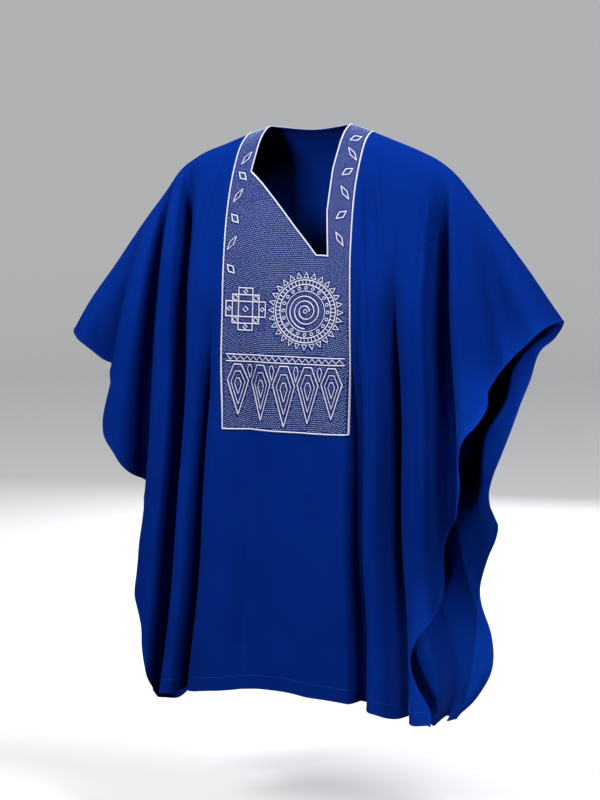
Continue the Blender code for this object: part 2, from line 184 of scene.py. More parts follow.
# One row for each ridge or valley: where it lies at three places along the cloth, how far it stands out
# (or in, below zero) half way down and at the hem, and how far down from the shoulder fold it begins.
FOLD_STATIONS = (0.0, 0.6, 1.2)
FOLD_GROWTH = 0.26
RISE_PACE = 1.25
FALLING_LEAN = 0.2
RISING_LEAN = 0.8
FOLD_COLUMNS = "top middle low out_middle out_low begins"
FOLDS = {
    FRONT: table(
        FOLD_COLUMNS,
        (-0.545, -0.640, -0.720, 0.000, 0.000, 0.02),
        (-0.376, -0.524, -0.620, -0.034, -0.012, 0.00),
        (-0.342, -0.430, -0.512, 0.024, 0.024, 0.00),
        (-0.323, -0.380, -0.446, -0.042, -0.032, 0.00),
        (-0.313, -0.364, -0.430, -0.048, -0.036, 0.00),
        (-0.292, -0.301, -0.366, 0.020, 0.018, 0.00),
        (-0.280, -0.277, -0.337, -0.058, -0.056, 0.00),
        (-0.272, -0.262, -0.325, -0.064, -0.062, 0.00),
        (-0.222, -0.232, -0.286, 0.020, 0.026, 0.14),
        (-0.172, -0.200, -0.254, -0.020, -0.044, 0.36),
        (-0.125, -0.152, -0.190, 0.006, 0.010, 0.40),
        (-0.066, -0.088, -0.108, -0.002, -0.004, 0.40),
        (0.004, 0.000, 0.010, 0.004, 0.008, 0.40),
        (0.098, 0.116, 0.136, 0.006, 0.012, 0.40),
        (0.124, 0.141, 0.157, -0.020, -0.035, 0.44),
        (0.142, 0.159, 0.175, -0.024, -0.041, 0.44),
        (0.182, 0.188, 0.206, 0.022, 0.028, 0.18),
        (0.232, 0.231, 0.256, -0.046, -0.056, 0.30),
        (0.276, 0.292, 0.312, 0.020, 0.026, 0.14),
        (0.308, 0.317, 0.342, -0.050, -0.016, 0.02),
        (0.318, 0.350, 0.372, -0.068, -0.014, 0.02),
        (0.345, 0.420, 0.480, 0.028, 0.026, 0.03),
        (0.378, 0.522, 0.606, -0.026, -0.022, 0.00),
        (0.490, 0.640, 0.700, -0.008, 0.000, 0.00),
        (0.560, 0.700, 0.760, 0.000, 0.000, 0.02),
    ),
    BACK: table(
        FOLD_COLUMNS,
        (-0.545, -0.640, -0.720, 0.000, 0.000, 0.02),
        (-0.440, -0.520, -0.600, -0.006, -0.006, 0.02),
        (-0.365, -0.432, -0.490, 0.020, 0.020, 0.03),
        (-0.318, -0.372, -0.410, -0.028, -0.030, 0.03),
        (-0.268, -0.305, -0.345, 0.026, 0.034, 0.05),
        (-0.212, -0.244, -0.282, -0.030, -0.042, 0.10),
        (-0.158, -0.180, -0.214, 0.016, 0.032, 0.20),
        (-0.102, -0.112, -0.140, -0.012, -0.030, 0.28),
        (-0.040, -0.040, -0.052, 0.008, 0.028, 0.32),
        (0.022, 0.030, 0.036, -0.008, -0.026, 0.32),
        (0.088, 0.102, 0.106, 0.014, 0.030, 0.26),
        (0.145, 0.162, 0.175, -0.016, -0.106, 0.18),
        (0.156, 0.176, 0.224, -0.016, -0.104, 0.18),
        (0.206, 0.222, 0.246, 0.024, 0.014, 0.10),
        (0.310, 0.334, 0.282, -0.036, -0.024, 0.03),
        (0.365, 0.392, 0.350, 0.014, -0.012, 0.03),
        (0.430, 0.460, 0.430, -0.004, -0.004, 0.03),
        (0.560, 0.660, 0.740, 0.000, 0.000, 0.02),
    ),
}

# The creases, listed one by one: where one lies across at its start, half way and its end, where along the
# cloth it starts and ends, how far it stands out (or in, below zero), and how wide it is on the wearer's
# right and left of its line. Some draw a valley in deeper, some run down one side of a fold, and some are
# its first pinch.
CREASE_FADE_IN = 0.14
CREASE_FADE_OUT = 0.30
CREASE_FADE_IN_SHARE = 0.45
CREASE_FADE_OUT_SHARE = 0.50
CREASE_COLUMNS = "top middle low starts ends out right left"
CREASES = {
    FRONT: table(
        CREASE_COLUMNS,
        (-0.306, -0.322, -0.366, 0.08, 1.30, 0.0060, 0.012, 0.008),
        (-0.164, -0.216, -0.212, 0.02, 0.42, 0.0044, 0.010, 0.006),
        (-0.156, -0.205, -0.200, 0.02, 0.38, -0.0040, 0.005, 0.010),
        (-0.296, -0.298, -0.303, 0.02, 0.34, 0.0060, 0.007, 0.004),
        (-0.470, -0.500, -0.520, 0.02, 0.30, 0.0030, 0.016, 0.012),
        (0.158, 0.184, 0.200, 0.03, 0.34, 0.0040, 0.006, 0.005),
        (0.168, 0.193, 0.212, 0.03, 0.36, -0.0034, 0.005, 0.010),
        (0.150, 0.178, 0.206, 0.10, 0.66, -0.0150, 0.012, 0.022),
        (0.168, 0.178, 0.188, 0.60, 1.60, 0.0060, 0.008, 0.012),
        (0.520, 0.640, 0.700, 0.00, 0.60, 0.0380, 0.084, 0.050),
        (-0.470, -0.580, -0.640, 0.00, 0.50, 0.0200, 0.060, 0.060),
        (0.277, 0.279, 0.281, 0.06, 0.36, -0.0060, 0.004, 0.005),
        (0.286, 0.287, 0.289, 0.05, 0.42, 0.0044, 0.005, 0.003),
        (0.352, 0.382, 0.430, 0.02, 0.46, -0.0070, 0.012, 0.020),
        (0.400, 0.462, 0.520, 0.02, 0.34, -0.0036, 0.016, 0.022),
        (0.326, 0.350, 0.372, 0.04, 0.66, 0.0070, 0.010, 0.022),
        (0.256, 0.282, 0.306, 0.30, 1.20, 0.0060, 0.008, 0.010),
        (0.320, 0.342, 0.352, 0.56, 0.90, -0.0070, 0.012, 0.012),
        (-0.092, -0.090, -0.088, 0.50, 1.90, -0.0120, 0.050, 0.050),
        (0.040, 0.052, 0.046, 0.70, 1.60, 0.0030, 0.030, 0.022),
    ),
    BACK: table(
        CREASE_COLUMNS,
        (0.520, 0.400, 0.380, 0.26, 1.60, -0.0400, 0.060, 0.040),
        (-0.150, -0.186, -0.196, 0.03, 0.40, -0.0044, 0.006, 0.010),
        (-0.236, -0.262, -0.270, 0.04, 0.50, 0.0050, 0.008, 0.006),
        (0.160, 0.192, 0.206, 0.03, 0.36, -0.0042, 0.010, 0.006),
        (0.300, 0.322, 0.330, 0.04, 0.46, 0.0060, 0.006, 0.008),
        (0.372, 0.420, 0.460, 0.04, 0.40, -0.0050, 0.014, 0.018),
        (-0.396, -0.436, -0.470, 0.05, 0.38, -0.0046, 0.018, 0.012),
        (-0.072, -0.080, -0.096, 0.16, 0.90, 0.0040, 0.014, 0.010),
        (0.060, 0.064, 0.072, 0.22, 1.00, -0.0044, 0.010, 0.014),
        (-0.216, -0.246, -0.290, 0.16, 1.60, -0.0140, 0.012, 0.012),
        (0.092, 0.104, 0.108, 0.40, 1.60, 0.0060, 0.010, 0.010),
        (-0.108, -0.122, -0.150, 0.36, 1.60, -0.0110, 0.014, 0.010),
        (0.026, 0.034, 0.038, 0.40, 1.60, -0.0100, 0.010, 0.014),
        (-0.330, -0.372, -0.412, 0.14, 1.60, -0.0100, 0.012, 0.014),
    ),
}

# The darts: creases that draw a valley in along its own line. Each is given by the row of its fold, where
# along the cloth it starts and ends, how deep it is, and how wide it is on the wearer's right and left.
DART_COLUMNS = "fold starts ends out right left"
DARTS = {
    FRONT: table(
        DART_COLUMNS,
        (4, 0.04, 0.98, -0.0140, 0.010, 0.006),
        (7, 0.10, 1.60, -0.0180, 0.012, 0.006),
        (9, 0.50, 1.60, -0.0120, 0.010, 0.005),
        (17, 0.52, 1.60, -0.0140, 0.011, 0.008),
        (20, 0.06, 0.86, -0.0080, 0.012, 0.006),
    ),
    BACK: table(
        DART_COLUMNS,
        (5, 0.20, 1.60, -0.0120, 0.010, 0.008),
        (9, 0.40, 1.60, -0.0080, 0.010, 0.008),
    ),
}

# Slow waves in the cloth, each by its length across, its length along, its start, and how far the start
# shifts from one side of the robe to the other. Each soft hollow is a depth and two waves multiplied.
HOLLOWS = (
    (0.0016, (0.171, 0.83, 0.0, 0.2), (-0.47, 0.61, 0.15, 0.0)),
    (0.0008, (0.089, -0.52, 0.0, 0.5 / pi), (0.31, 0.233, 0.0, 0.0)),
)
HOLLOWS_BEGIN = (0.02, 0.20)
SWAY = 0.0028
SWAY_WAVE = (0.60, 0.47, 0.0, 0.0)
SWAY_BEGINS = (0.10, 0.40)

# The free edges from the tip of each wing down to the bottom corner. Right and left are the wearer's.
EDGES = {
    (FRONT, "right"): table(
        "across height",
        (-0.558, -0.466),
        (-0.513, -0.491),
        (-0.476, -0.526),
        (-0.430, -0.554),
        (-0.424, -0.570),
        (-0.430, -0.600),
        (-0.442, -0.660),
        (-0.439, -0.690),
        (-0.425, -0.725),
        (-0.396, -0.780),
        (-0.362, -0.818),
        (-0.347, -0.842),
        (-0.350, -0.885),
        (-0.367, -0.950),
        (-0.382, -1.008),
        (-0.378, -1.048),
        (-0.362, -1.082),
        (-0.353, -1.120),
        (-0.352, -1.180),
        (-0.347, -1.240),
        (-0.340, -1.296),
    ),
    (FRONT, "left"): table(
        "across height",
        (0.576, -0.409),
        (0.562, -0.411),
        (0.537, -0.429),
        (0.511, -0.457),
        (0.446, -0.526),
        (0.431, -0.560),
        (0.433, -0.586),
        (0.420, -0.616),
        (0.400, -0.650),
        (0.384, -0.700),
        (0.382, -0.735),
        (0.388, -0.767),
        (0.381, -0.801),
        (0.358, -0.842),
        (0.336, -0.888),
        (0.331, -0.925),
        (0.334, -0.980),
        (0.332, -1.022),
        (0.324, -1.052),
        (0.304, -1.090),
        (0.290, -1.126),
        (0.283, -1.160),
        (0.292, -1.195),
        (0.305, -1.232),
        (0.319, -1.270),
        (0.320, -1.298),
    ),
    (BACK, "right"): table(
        "across height",
        (-0.558, -0.466),
        (-0.522, -0.500),
        (-0.455, -0.570),
        (-0.435, -0.660),
        (-0.400, -0.750),
        (-0.374, -0.840),
        (-0.374, -0.930),
        (-0.384, -1.020),
        (-0.398, -1.120),
        (-0.416, -1.190),
        (-0.429, -1.250),
        (-0.426, -1.290),
        (-0.412, -1.322),
        (-0.395, -1.352),
    ),
    (BACK, "left"): table(
        "across height",
        (0.576, -0.409),
        (0.566, -0.427),
        (0.546, -0.455),
        (0.514, -0.484),
        (0.488, -0.559),
        (0.463, -0.634),
        (0.425, -0.725),
        (0.402, -0.785),
        (0.396, -0.815),
        (0.404, -0.855),
        (0.422, -0.884),
        (0.419, -0.908),
        (0.399, -0.962),
        (0.384, -1.020),
        (0.380, -1.065),
        (0.378, -1.130),
        (0.372, -1.200),
        (0.362, -1.260),
        (0.345, -1.310),
        (0.325, -1.340),
    ),
}

HEMS = {
    FRONT: table(
        "across height",
        (-0.340, -1.296),
        (-0.300, -1.274),
        (-0.250, -1.268),
        (-0.190, -1.255),
        (-0.100, -1.244),
        (-0.020, -1.237),
        (0.060, -1.246),
        (0.130, -1.252),
        (0.173, -1.262),
        (0.210, -1.275),
        (0.245, -1.294),
        (0.280, -1.302),
        (0.315, -1.298),
    ),
    BACK: table(
        "across height",
        (-0.395, -1.352),
        (-0.365, -1.366),
        (-0.340, -1.340),
        (-0.300, -1.306),
        (-0.240, -1.284),
        (-0.150, -1.269),
        (-0.050, -1.262),
        (0.050, -1.262),
        (0.130, -1.280),
        (0.175, -1.312),
        (0.210, -1.330),
        (0.236, -1.344),
        (0.252, -1.353),
        (0.270, -1.350),
        (0.300, -1.345),
        (0.325, -1.340),
    ),
}

# Low on the wearer's left the back panel swings out in a lobe beside its edge. The swing is nothing at the
# edge and at a lobe's width inside it, and between them it follows t * (1 - t)^2, which peaks at 4 / 27.
LOBE_WIDTH = 0.24
LOBE_PEAK = 4 / 27
LOBE = table(
    "height reach",
    (-1.35, 0.050),
    (-1.29, 0.082),
    (-1.22, 0.106),
    (-1.15, 0.098),
    (-1.05, 0.054),
    (-0.95, 0.022),
    (-0.85, 0.000),
)

# The neck: down the inside of one strip, along the slanted front, and up the other strip.
NECK_FRONT = table(
    "across along",
    (-0.087, 0.000),
    (-0.109, 0.128),
    (0.055, 0.326),
    (0.078, 0.326),
    (0.071, 0.230),
    (0.076, 0.136),
    (0.098, 0.000),
)

# The outer sides of the embroidered field, from the shoulder fold to its bottom.
FIELD_SIDES = table(
    "along right left",
    (0.00, -0.134, 0.149),
    (0.08, -0.151, 0.139),
    (0.17, -0.161, 0.131),
    (0.30, -0.163, 0.131),
    (0.45, -0.160, 0.135),
    (0.71, -0.157, 0.135),
)

# The small open lozenges down the two strips: their middles, and how far each leans from level.
LOZENGE_SIZE = (0.031, 0.0125)
LOZENGES = table(
    "across along lean",
    (-0.125, 0.092, 46),
    (-0.130, 0.132, -52),
    (-0.137, 0.174, 46),
    (-0.140, 0.224, -54),
    (-0.143, 0.277, 48),
    (-0.142, 0.334, -54),
    (0.120, 0.052, 40),
    (0.117, 0.093, -50),
    (0.110, 0.137, 44),
    (0.108, 0.184, -52),
    (0.104, 0.234, 46),
    (0.104, 0.286, -54),
)

# Behind the neck: where each arc starts and ends across, and how far down it reaches.
NECK_BEHIND = (NECK_FRONT["across"][0], NECK_FRONT["across"][-1], BACK_NECK_DROP)
BAND_BEHIND = (FIELD_SIDES["right"][0], FIELD_SIDES["left"][0], BACK_NECK_DROP + BACK_BAND_WIDTH)
LOZENGES_BEHIND = table(
    "across along lean",
    (-0.104, 0.040, -50),
    (-0.072, 0.062, 30),
    (-0.032, 0.072, -14),
    (0.012, 0.072, 14),
    (0.060, 0.068, -16),
    (0.098, 0.056, -40),
    (0.122, 0.026, 60),
)

# The chest design, by across and height. The disc's rings, rungs, beads and teeth are placed by how far they
# lie inside its outer ring, or outside it, below zero.
DISC_MIDDLE = (0.034, -0.392)
DISC_RADIUS = 0.068
DISC_INNER_RING = 0.010
DISC_BEAD_RING = 0.024
DISC_EYE = 0.0042
DISC_RUNGS = 48
DISC_RUNG = (0.009, 0.001)
DISC_BEADS = 20
DISC_BEAD_LINE = 0.017
DISC_BEAD = 0.0032
DISC_TEETH = 28
DISC_TOOTH = (-0.0048, -0.0165)
DISC_TOOTH_HALF_TURN = 0.078
SPIRAL_START = 0.009
SPIRAL_END = 0.030
SPIRAL_TURNS = 2.75
SPIRAL_POINTS = 44

# The knot is three crossed blocks, with squares on end in its corners and arms, all as shares of its reach.
KNOT_MIDDLE = (-0.104, -0.392)
KNOT_REACH = 0.046
KNOT_BLOCKS = ((1.0, 0.36), (0.36, 1.0), (0.68, 0.68))
KNOT_LARGE_SQUARES = (0.0062, ((0, 0), (0.52, 0.52), (-0.52, 0.52), (0.52, -0.52), (-0.52, -0.52)))
KNOT_SMALL_SQUARES = (0.0048, ((0.84, 0), (-0.84, 0), (0, 0.84), (0, -0.84)))

RAIL_ENDS = (-0.148, 0.124)
RAIL_HEIGHT = -0.492
RAIL_GAP = 0.015
ZIGZAG_INSET = 0.003
ZIGZAG_REACH = 0.0045
ZIGZAG_STEP = 0.0076

# A knife hangs point down. Its half widths are shares of its width: at its top, at its shoulder and at its
# point, each with how far down that is as a share of its length. Smaller ones are drawn inside it.
KNIFE_HALVES = table("down half", (0.0, 0.18), (0.32, 0.5), (1.0, 0.0))
KNIFE_MIDDLE = 0.40
KNIFE_SHARES = ((1.0, MOTIF_CORD), (0.66, FINE_CORD), (0.32, FINE_CORD))
KNIFE_TOP = RAIL_HEIGHT - RAIL_GAP - 0.007
KNIVES = table(
    "across length width",
    (-0.121, 0.112, 0.046),
    (-0.067, 0.124, 0.048),
    (-0.012, 0.134, 0.050),
    (0.043, 0.124, 0.048),
    (0.097, 0.112, 0.046),
)
SPACERS = table(
    "across length width",
    (-0.094, 0.030, 0.011),
    (-0.0395, 0.034, 0.011),
    (0.0155, 0.034, 0.011),
    (0.070, 0.030, 0.011),
)

# The nets of points: counts of columns and rows. Both panels have the same columns along the shoulder fold,
# and their rows crowd towards it by a power. The bottom of each column is found from a first guess, in a
# number of goes.
FRONT_COLUMNS = (144, 40, 6, 144)
FRONT_ROWS = (34, 104)
FRONT_CROWDING = 1.35
BACK_COLUMNS = (144, 50, 144)
BACK_ROWS = 140
BACK_CROWDING = 1.25
FIELD_COLUMNS = (16, 42, 7, 18)
FIELD_ROWS = (40, 66)
BAND_ROWS = 16
ARC_POINTS = 73
SETTLE_FROM = 1.2
SETTLE_TIMES = 25

# The weave, how slubs and warp threads are stretched, how wide the pulled-in line of the hem and the painted
# highlight beside the free edges are, and how far apart the stripes of a thread are.
WEAVE_STEP = 0.0011
SLUB_STRETCH = (14.0, 620.0, 1.0)
WARP_STRETCH = (520.0, 9.0, 1.0)
HEM_LINE_HALF = 0.0022
EDGE_HIGHLIGHT_WIDTH = 0.006
SATIN_STRIPE = 0.0009
MATT_STRIPE = 0.0006

# Colours, as shares of the light reflected.
CLOTH_SHEEN = (0.06, 0.18, 1.0)
GROUND_SHEEN = (0.3, 0.4, 1.0)
CLOTH_DEEP = (0.0005, 0.0095, 0.120)
CLOTH_LIGHT = (0.0010, 0.0200, 0.190)
GROUND_DEEP = (0.0020, 0.0110, 0.110)
GROUND_LIGHT = (0.0070, 0.0280, 0.190)
THREAD_LIGHT = (0.620, 0.620, 0.700)
THREAD_SHADE = (0.400, 0.410, 0.520)
GROUND_THREAD_LIGHT = (0.430, 0.520, 0.670)
GROUND_THREAD_SHADE = (0.270, 0.335, 0.480)
HEM_THREAD = (0.030, 0.090, 0.560)
STAGE_TONE = (0.560, 0.565, 0.580)

# The view.
VIEW_TURN = radians(17)
VIEW_PITCH = radians(9)
VIEW_AIM = (-0.02, 0.0, -0.61)
VIEW_DISTANCE = 5.75
VIEW_LENS = 115.2
VIEW_SENSOR = 36.0

# The stage: a floor that sweeps up into a wall, and soft boxes by place, aim, size, power, colour and spread.
# Two small boxes with grids light only the inner side of the back, past the free edge of the front.
FLOOR_HEIGHT = -1.60
FLOOR_RINGS = (0.001, 1.0, 3.0)
STAGE_SIDES = 72
WALL_RADIUS = 9.8
WALL_TOP = 8.0
SWEEP = 2.6
STAGE_GLOW = 0.55
AIR_COLOUR = (0.80, 0.88, 1.0)
AIR_STRENGTH = 0.008
LIGHTS = (
    ("key_box", (-1.8, -3.4, 1.9), (0.0, 0.0, -0.6), 1.4, 256.0, (1.0, 0.99, 0.97), 180),
    ("wing_box", (0.25, -4.5, -0.55), (0.68, 0.05, -0.72), 0.15, 2.35, (0.97, 0.98, 1.0), 9),
    ("lobe_box", (1.0, -4.3, -0.9), (0.44, 0.05, -1.20), 0.15, 0.66, (0.97, 0.98, 1.0), 8),
    ("top_box", (1.65, -1.0, 3.15), (0.4, 0.0, -0.4), 1.1, 235.0, (1.0, 1.0, 1.0), 180),
    ("back_box", (-0.4, 3.6, 0.2), (0.0, 0.0, -0.6), 2.0, 120.0, (1.0, 1.0, 1.0), 180),
)


def blend(value, low, high):
    """0 below low, 1 above high and the ramp t * t * (3 - 2 t) between."""
    part = np.clip((value - low) / (high - low), 0, 1)
    return part * part * (3 - 2 * part)


def through(at, knots, values):
    """The cubic curve through the values at the rising knots, with slopes from each knot's neighbours."""
    slopes = np.gradient(values, knots)
    span = np.clip(np.searchsorted(knots, at) - 1, 0, len(knots) - 2)
    width = knots[span + 1] - knots[span]
    part = np.clip((at - knots[span]) / width, 0, 1)
    start = values[span] * (1 + 2 * part) * (1 - part) ** 2 + slopes[span] * width * part * (1 - part) ** 2
    end = values[span + 1] * part**2 * (3 - 2 * part) - slopes[span + 1] * width * part**2 * (1 - part)
    return start + end


def lengths_along(points):
    """The distance along a path to each of its points."""
    return np.concatenate([[0], np.cumsum(np.linalg.norm(np.diff(points, axis=0), axis=1))])


def smooth_route(route, step):
    """Points about a step apart on the cubic curve through a route's own points, by distance along it."""
    points = np.stack(list(route.values()), axis=1)
    lengths = lengths_along(points)
    at = np.linspace(0, lengths[-1], int(np.ceil(lengths[-1] / step)) + 1)
    return np.stack([through(at, lengths, column) for column in points.T], axis=1)


def shoulder_height(across):
    """The height of the shoulder fold, through its own table."""
    return through(across, SHOULDER["across"], SHOULDER["height"])


def fall(along):
    """How far the cloth has come down: the square root of along^2 + r^2, less the roll's radius r."""
    return np.hypot(along, ROLL_RADIUS) - ROLL_RADIUS


def along_of(across, height):
    """The way along the cloth to a height: the inverse of fall."""
    drop = np.maximum(shoulder_height(across) - height, 0)
    return np.sqrt((drop + ROLL_RADIUS) ** 2 - ROLL_RADIUS**2)


def fold_places(side, along):
    """Where each fold lies across, at each place along: the parabola through its three places."""
    folds = FOLDS[side]
    part = along / FOLD_STATIONS[1]
    top, middle, low = (folds[name][:, None] for name in ("top", "middle", "low"))
    bend = (top - 2 * middle + low) / 2
    return top + (middle - top - bend) * part + bend * part**2


def fold_heights(side, along):
    """How far each fold stands out: it grows from where it begins, then turns into its size at the hem."""
    folds = FOLDS[side]
    grown = blend(along, folds["begins"][:, None], folds["begins"][:, None] + FOLD_GROWTH)
    lower = blend(along, FOLD_STATIONS[1], FOLD_STATIONS[2])
    out = folds["out_middle"][:, None] + (folds["out_low"] - folds["out_middle"])[:, None] * lower
    return out * grown


def folds_at(side, across, along):
    """How far the folds push the cloth out, and how far they round it sideways. From a ridge the cloth falls
    to the next valley as 1 - cos does over a quarter turn, steeper and steeper, and from the valley it rises
    as sin does, in the first part of its way. Sideways each flank leans by half a sine wave, larger where it
    is steeper."""
    places = fold_places(side, along)
    heights = fold_heights(side, along)
    number = np.clip((places <= across).sum(axis=0) - 1, 0, len(places) - 2)
    each = np.arange(len(across))
    width = places[number + 1, each] - places[number, each]
    part = np.clip((across - places[number, each]) / width, 0, 1)
    first, second = heights[number, each], heights[number + 1, each]
    falling = 1 - np.cos(np.pi / 2 * part)
    rising = np.sin(np.pi / 2 * np.minimum(part * RISE_PACE, 1))
    out = first + (second - first) * np.where(second < first, falling, rising)
    steepness = np.abs(second - first) / width
    lean = np.where(second < first, FALLING_LEAN, -RISING_LEAN) * (1 - np.exp(-steepness))
    return out, lean * width * np.sin(np.pi * part) / np.pi


def bell(off, right, left):
    """A bell curve, exp(-(off / width)^2), with one width below zero and another above it."""
    return np.exp(-((off / np.where(off < 0, right, left)) ** 2))


def fading(along, starts, ends):
    """How strong a crease is along the cloth: nothing at its two ends, and whole between them."""
    fade_in = min(CREASE_FADE_IN, CREASE_FADE_IN_SHARE * (ends - starts))
    fade_out = min(CREASE_FADE_OUT, CREASE_FADE_OUT_SHARE * (ends - starts))
    return blend(along, starts, starts + fade_in) * (1 - blend(along, ends - fade_out, ends))


def creases_at(side, across, along):
    """The creases and darts: each is a bell curve across its own line. A crease's line is the parabola
    through its three places, and a dart's is the line of its fold."""
    out = np.zeros(len(across))
    for top, middle, low, starts, ends, height, right, left in zip(*CREASES[side].values()):
        part = (along - starts) / (ends - starts)
        bend = 2 * (top - 2 * middle + low)
        line = top + (low - top - bend) * part + bend * part**2
        out += height * fading(along, starts, ends) * bell(across - line, right, left)
    places = fold_places(side, along)
    for fold, starts, ends, height, right, left in zip(*DARTS[side].values()):
        out += height * fading(along, starts, ends) * bell(across - places[int(fold)], right, left)
    return out


def wave(side, across, along, across_length, along_length, start, shift):
    """A slow sine wave that runs over the cloth at a slant."""
    turns = across / across_length + along / along_length + start + shift * side
    return np.sin(2 * np.pi * turns)


def unevenness(side, across, along):
    """Soft hollows a hand or two wide: slow sine waves that cross at a slant, flat at the shoulder fold."""
    out = np.zeros(len(across))
    for depth, first, second in HOLLOWS:
        out += depth * wave(side, across, along, *first) * wave(side, across, along, *second)
    return out * blend(along, *HOLLOWS_BEGIN)


def depth_at(side, across, along):
    """How far the cloth stands off the plane of the shoulders, blended from the trunk's to the arms'."""
    depths = DEPTH[side]
    trunk = through(along, depths["along"], depths["trunk"])
    arm = through(along, depths["along"], depths["arm"])
    return trunk + (arm - trunk) * blend(np.abs(across), TRUNK_HALF, ARM_FROM)


def drape(side, across, along):
    """The points in space of points on the flat cloth: (across, depth, shoulder height less fall)."""
    height = shoulder_height(across) - fall(along)
    sway = SWAY * wave(side, across, along, *SWAY_WAVE) * blend(along, *SWAY_BEGINS)
    out, sideways = folds_at(side, across + sway, along)
    out = out + creases_at(side, across, along) + unevenness(side, across, along)
    depth = depth_at(side, across, along) + out
    across_draped = across + sideways
    if side == BACK:
        edge = EDGES[BACK, "left"]
        inside_edge = np.maximum(through(-height, -edge["height"], edge["across"]) - across, 0)
        part = np.minimum(inside_edge / LOBE_WIDTH, 1)
        reach = through(height, LOBE["height"], LOBE["reach"])
        across_draped += reach * part * (1 - part) ** 2 / LOBE_PEAK
    return np.stack([across_draped, side * depth, height], axis=1)


def laid(side, across, along, lift=0.0):
    """Points on the cloth, and its outward directions there, moved out by lift. A direction is the cross
    product of small steps across and along."""
    across, along, lift = np.broadcast_arrays(across, along, lift)
    shape = across.shape
    across, along, lift = across.ravel(), np.maximum(along.ravel(), 0), lift.ravel()
    before, after = np.maximum(along - LAY_STEP, 0), along + LAY_STEP
    over = drape(side, across + LAY_STEP, along) - drape(side, across - LAY_STEP, along)
    down = drape(side, across, after) - drape(side, across, before)
    out = side * np.cross(over, down)
    out[along == 0, 1] = 0
    out /= np.linalg.norm(out, axis=1, keepdims=True)
    points = drape(side, across, along) + out * lift[:, None]
    return points.reshape(*shape, 3), out.reshape(*shape, 3)


# Cutting out: the nets of flat points.


def edge_line(side, hand):
    """A free edge of a panel, as a function from along to across."""
    points = smooth_route(EDGES[side, hand], EDGE_STEP)
    alongs = along_of(points[:, 0], points[:, 1])
    return lambda along: np.interp(along, alongs, points[:, 0])


def hem_line(side):
    """The hem of a panel, as a function from across to along."""
    points = smooth_route(HEMS[side], EDGE_STEP)
    alongs = along_of(points[:, 0], points[:, 1])
    return lambda across: np.interp(across, points[:, 0], alongs)


def field_side(hand):
    """A side of the embroidered field, as a function from along to across."""
    return lambda along: through(along, FIELD_SIDES["along"], FIELD_SIDES[hand])


def field_bottom(across):
    """The bottom of the embroidered field, level at its own height."""
    return along_of(across, PANEL_BOTTOM)


def neck_right(along):
    """The neck's edge at the wearer's right, as across from along."""
    return np.interp(along, NECK_FRONT["along"][:2], NECK_FRONT["across"][:2])


def neck_left(along):
    """The neck's edge at the wearer's left, as across from along."""
    return np.interp(along, NECK_FRONT["along"][:2:-1], NECK_FRONT["across"][:2:-1])


def neck_foot(across):
    """The slanted foot of the neck with the short level run at its end, as along from across."""
    return np.interp(across, NECK_FRONT["across"][1:4], NECK_FRONT["along"][1:4])


def down_to(bottom, line, start, rows):
    """Columns that run down from a start to the bottom: line gives each column's across from its along. Where
    a column ends is found by going back and forth between the two until it settles."""
    end = np.full(len(start), SETTLE_FROM)
    for _ in range(SETTLE_TIMES):
        end = bottom(line(end))
    along = start + (end - start) * rows[:, None]
    return np.stack([line(row) for row in along]), along


def net_round_neck(right_side, left_side, bottom, columns, rows):
    """The flat net of a front piece: columns from its right side to the neck, under the neck and on to its
    left side, and rows above and below the neck's own corners. The net has no faces inside the neck."""
    right_count, slant_count, slit_count, left_count = columns
    neck_across = NECK_FRONT["across"]
    corner, slit_foot = NECK_FRONT["along"][1:3]
    right = np.linspace(0, 1, right_count + 1)
    left = np.linspace(0, 1, left_count + 1)
    slant = np.linspace(neck_across[1], neck_across[2], slant_count + 1)
    slit = np.linspace(neck_across[2], neck_across[3], slit_count + 1)
    under = np.concatenate([slant, slit[1:]])

    def from_right(along):
        """Across at each column from the right side to the neck."""
        return right_side(along) + (neck_right(along) - right_side(along)) * right

    def from_left(along):
        """Across at each column from the neck to the left side."""
        return neck_left(along) + (left_side(along) - neck_left(along)) * left

    above = np.linspace(0, 1, rows[0] + 1)[:-1] ** FRONT_CROWDING
    below = np.linspace(0, 1, rows[1] + 1)
    parts = [
        down_to(bottom, from_right, np.full(len(right), corner), below),
        down_to(bottom, lambda along: under + 0 * along, neck_foot(under), below),
        down_to(bottom, from_left, np.full(len(left), slit_foot), below),
    ]
    lower_across, lower_along = (
        np.concatenate([parts[0][n], parts[1][n][:, 1:-1], parts[2][n]], axis=1) for n in (0, 1)
    )
    right_along = np.repeat(above[:, None] * corner, len(right), axis=1)
    left_along = np.repeat(above[:, None] * slit_foot, len(left), axis=1)
    gap = np.zeros((rows[0], len(under) - 2))
    upper_across = np.concatenate(
        [
            np.stack([from_right(row) for row in right_along]),
            gap,
            np.stack([from_left(row) for row in left_along]),
        ],
        axis=1,
    )
    upper_along = np.concatenate([right_along, gap, left_along], axis=1)
    across = np.concatenate([upper_across, lower_across])
    along = np.concatenate([upper_along, lower_along])
    kept = np.ones((len(across) - 1, across.shape[1] - 1), dtype=bool)
    kept[: rows[0], right_count : right_count + slant_count + slit_count] = False
    return across, along, kept


def arc_depth(start, end, drop, across):
    """The back of the neck as along from across: the lower half of an ellipse, and 0 outside it."""
    part = (across - (start + end) / 2) / ((end - start) / 2)
    return drop * np.sqrt(np.clip(1 - part**2, 0, 1))


def neck_arc_path(start, end, drop):
    """The back of the neck as a path from one side to the other, the same half ellipse."""
    turns = np.linspace(np.pi, 0, ARC_POINTS)
    return np.stack([(start + end) / 2 + (end - start) / 2 * np.cos(turns), drop * np.sin(turns)], axis=1)


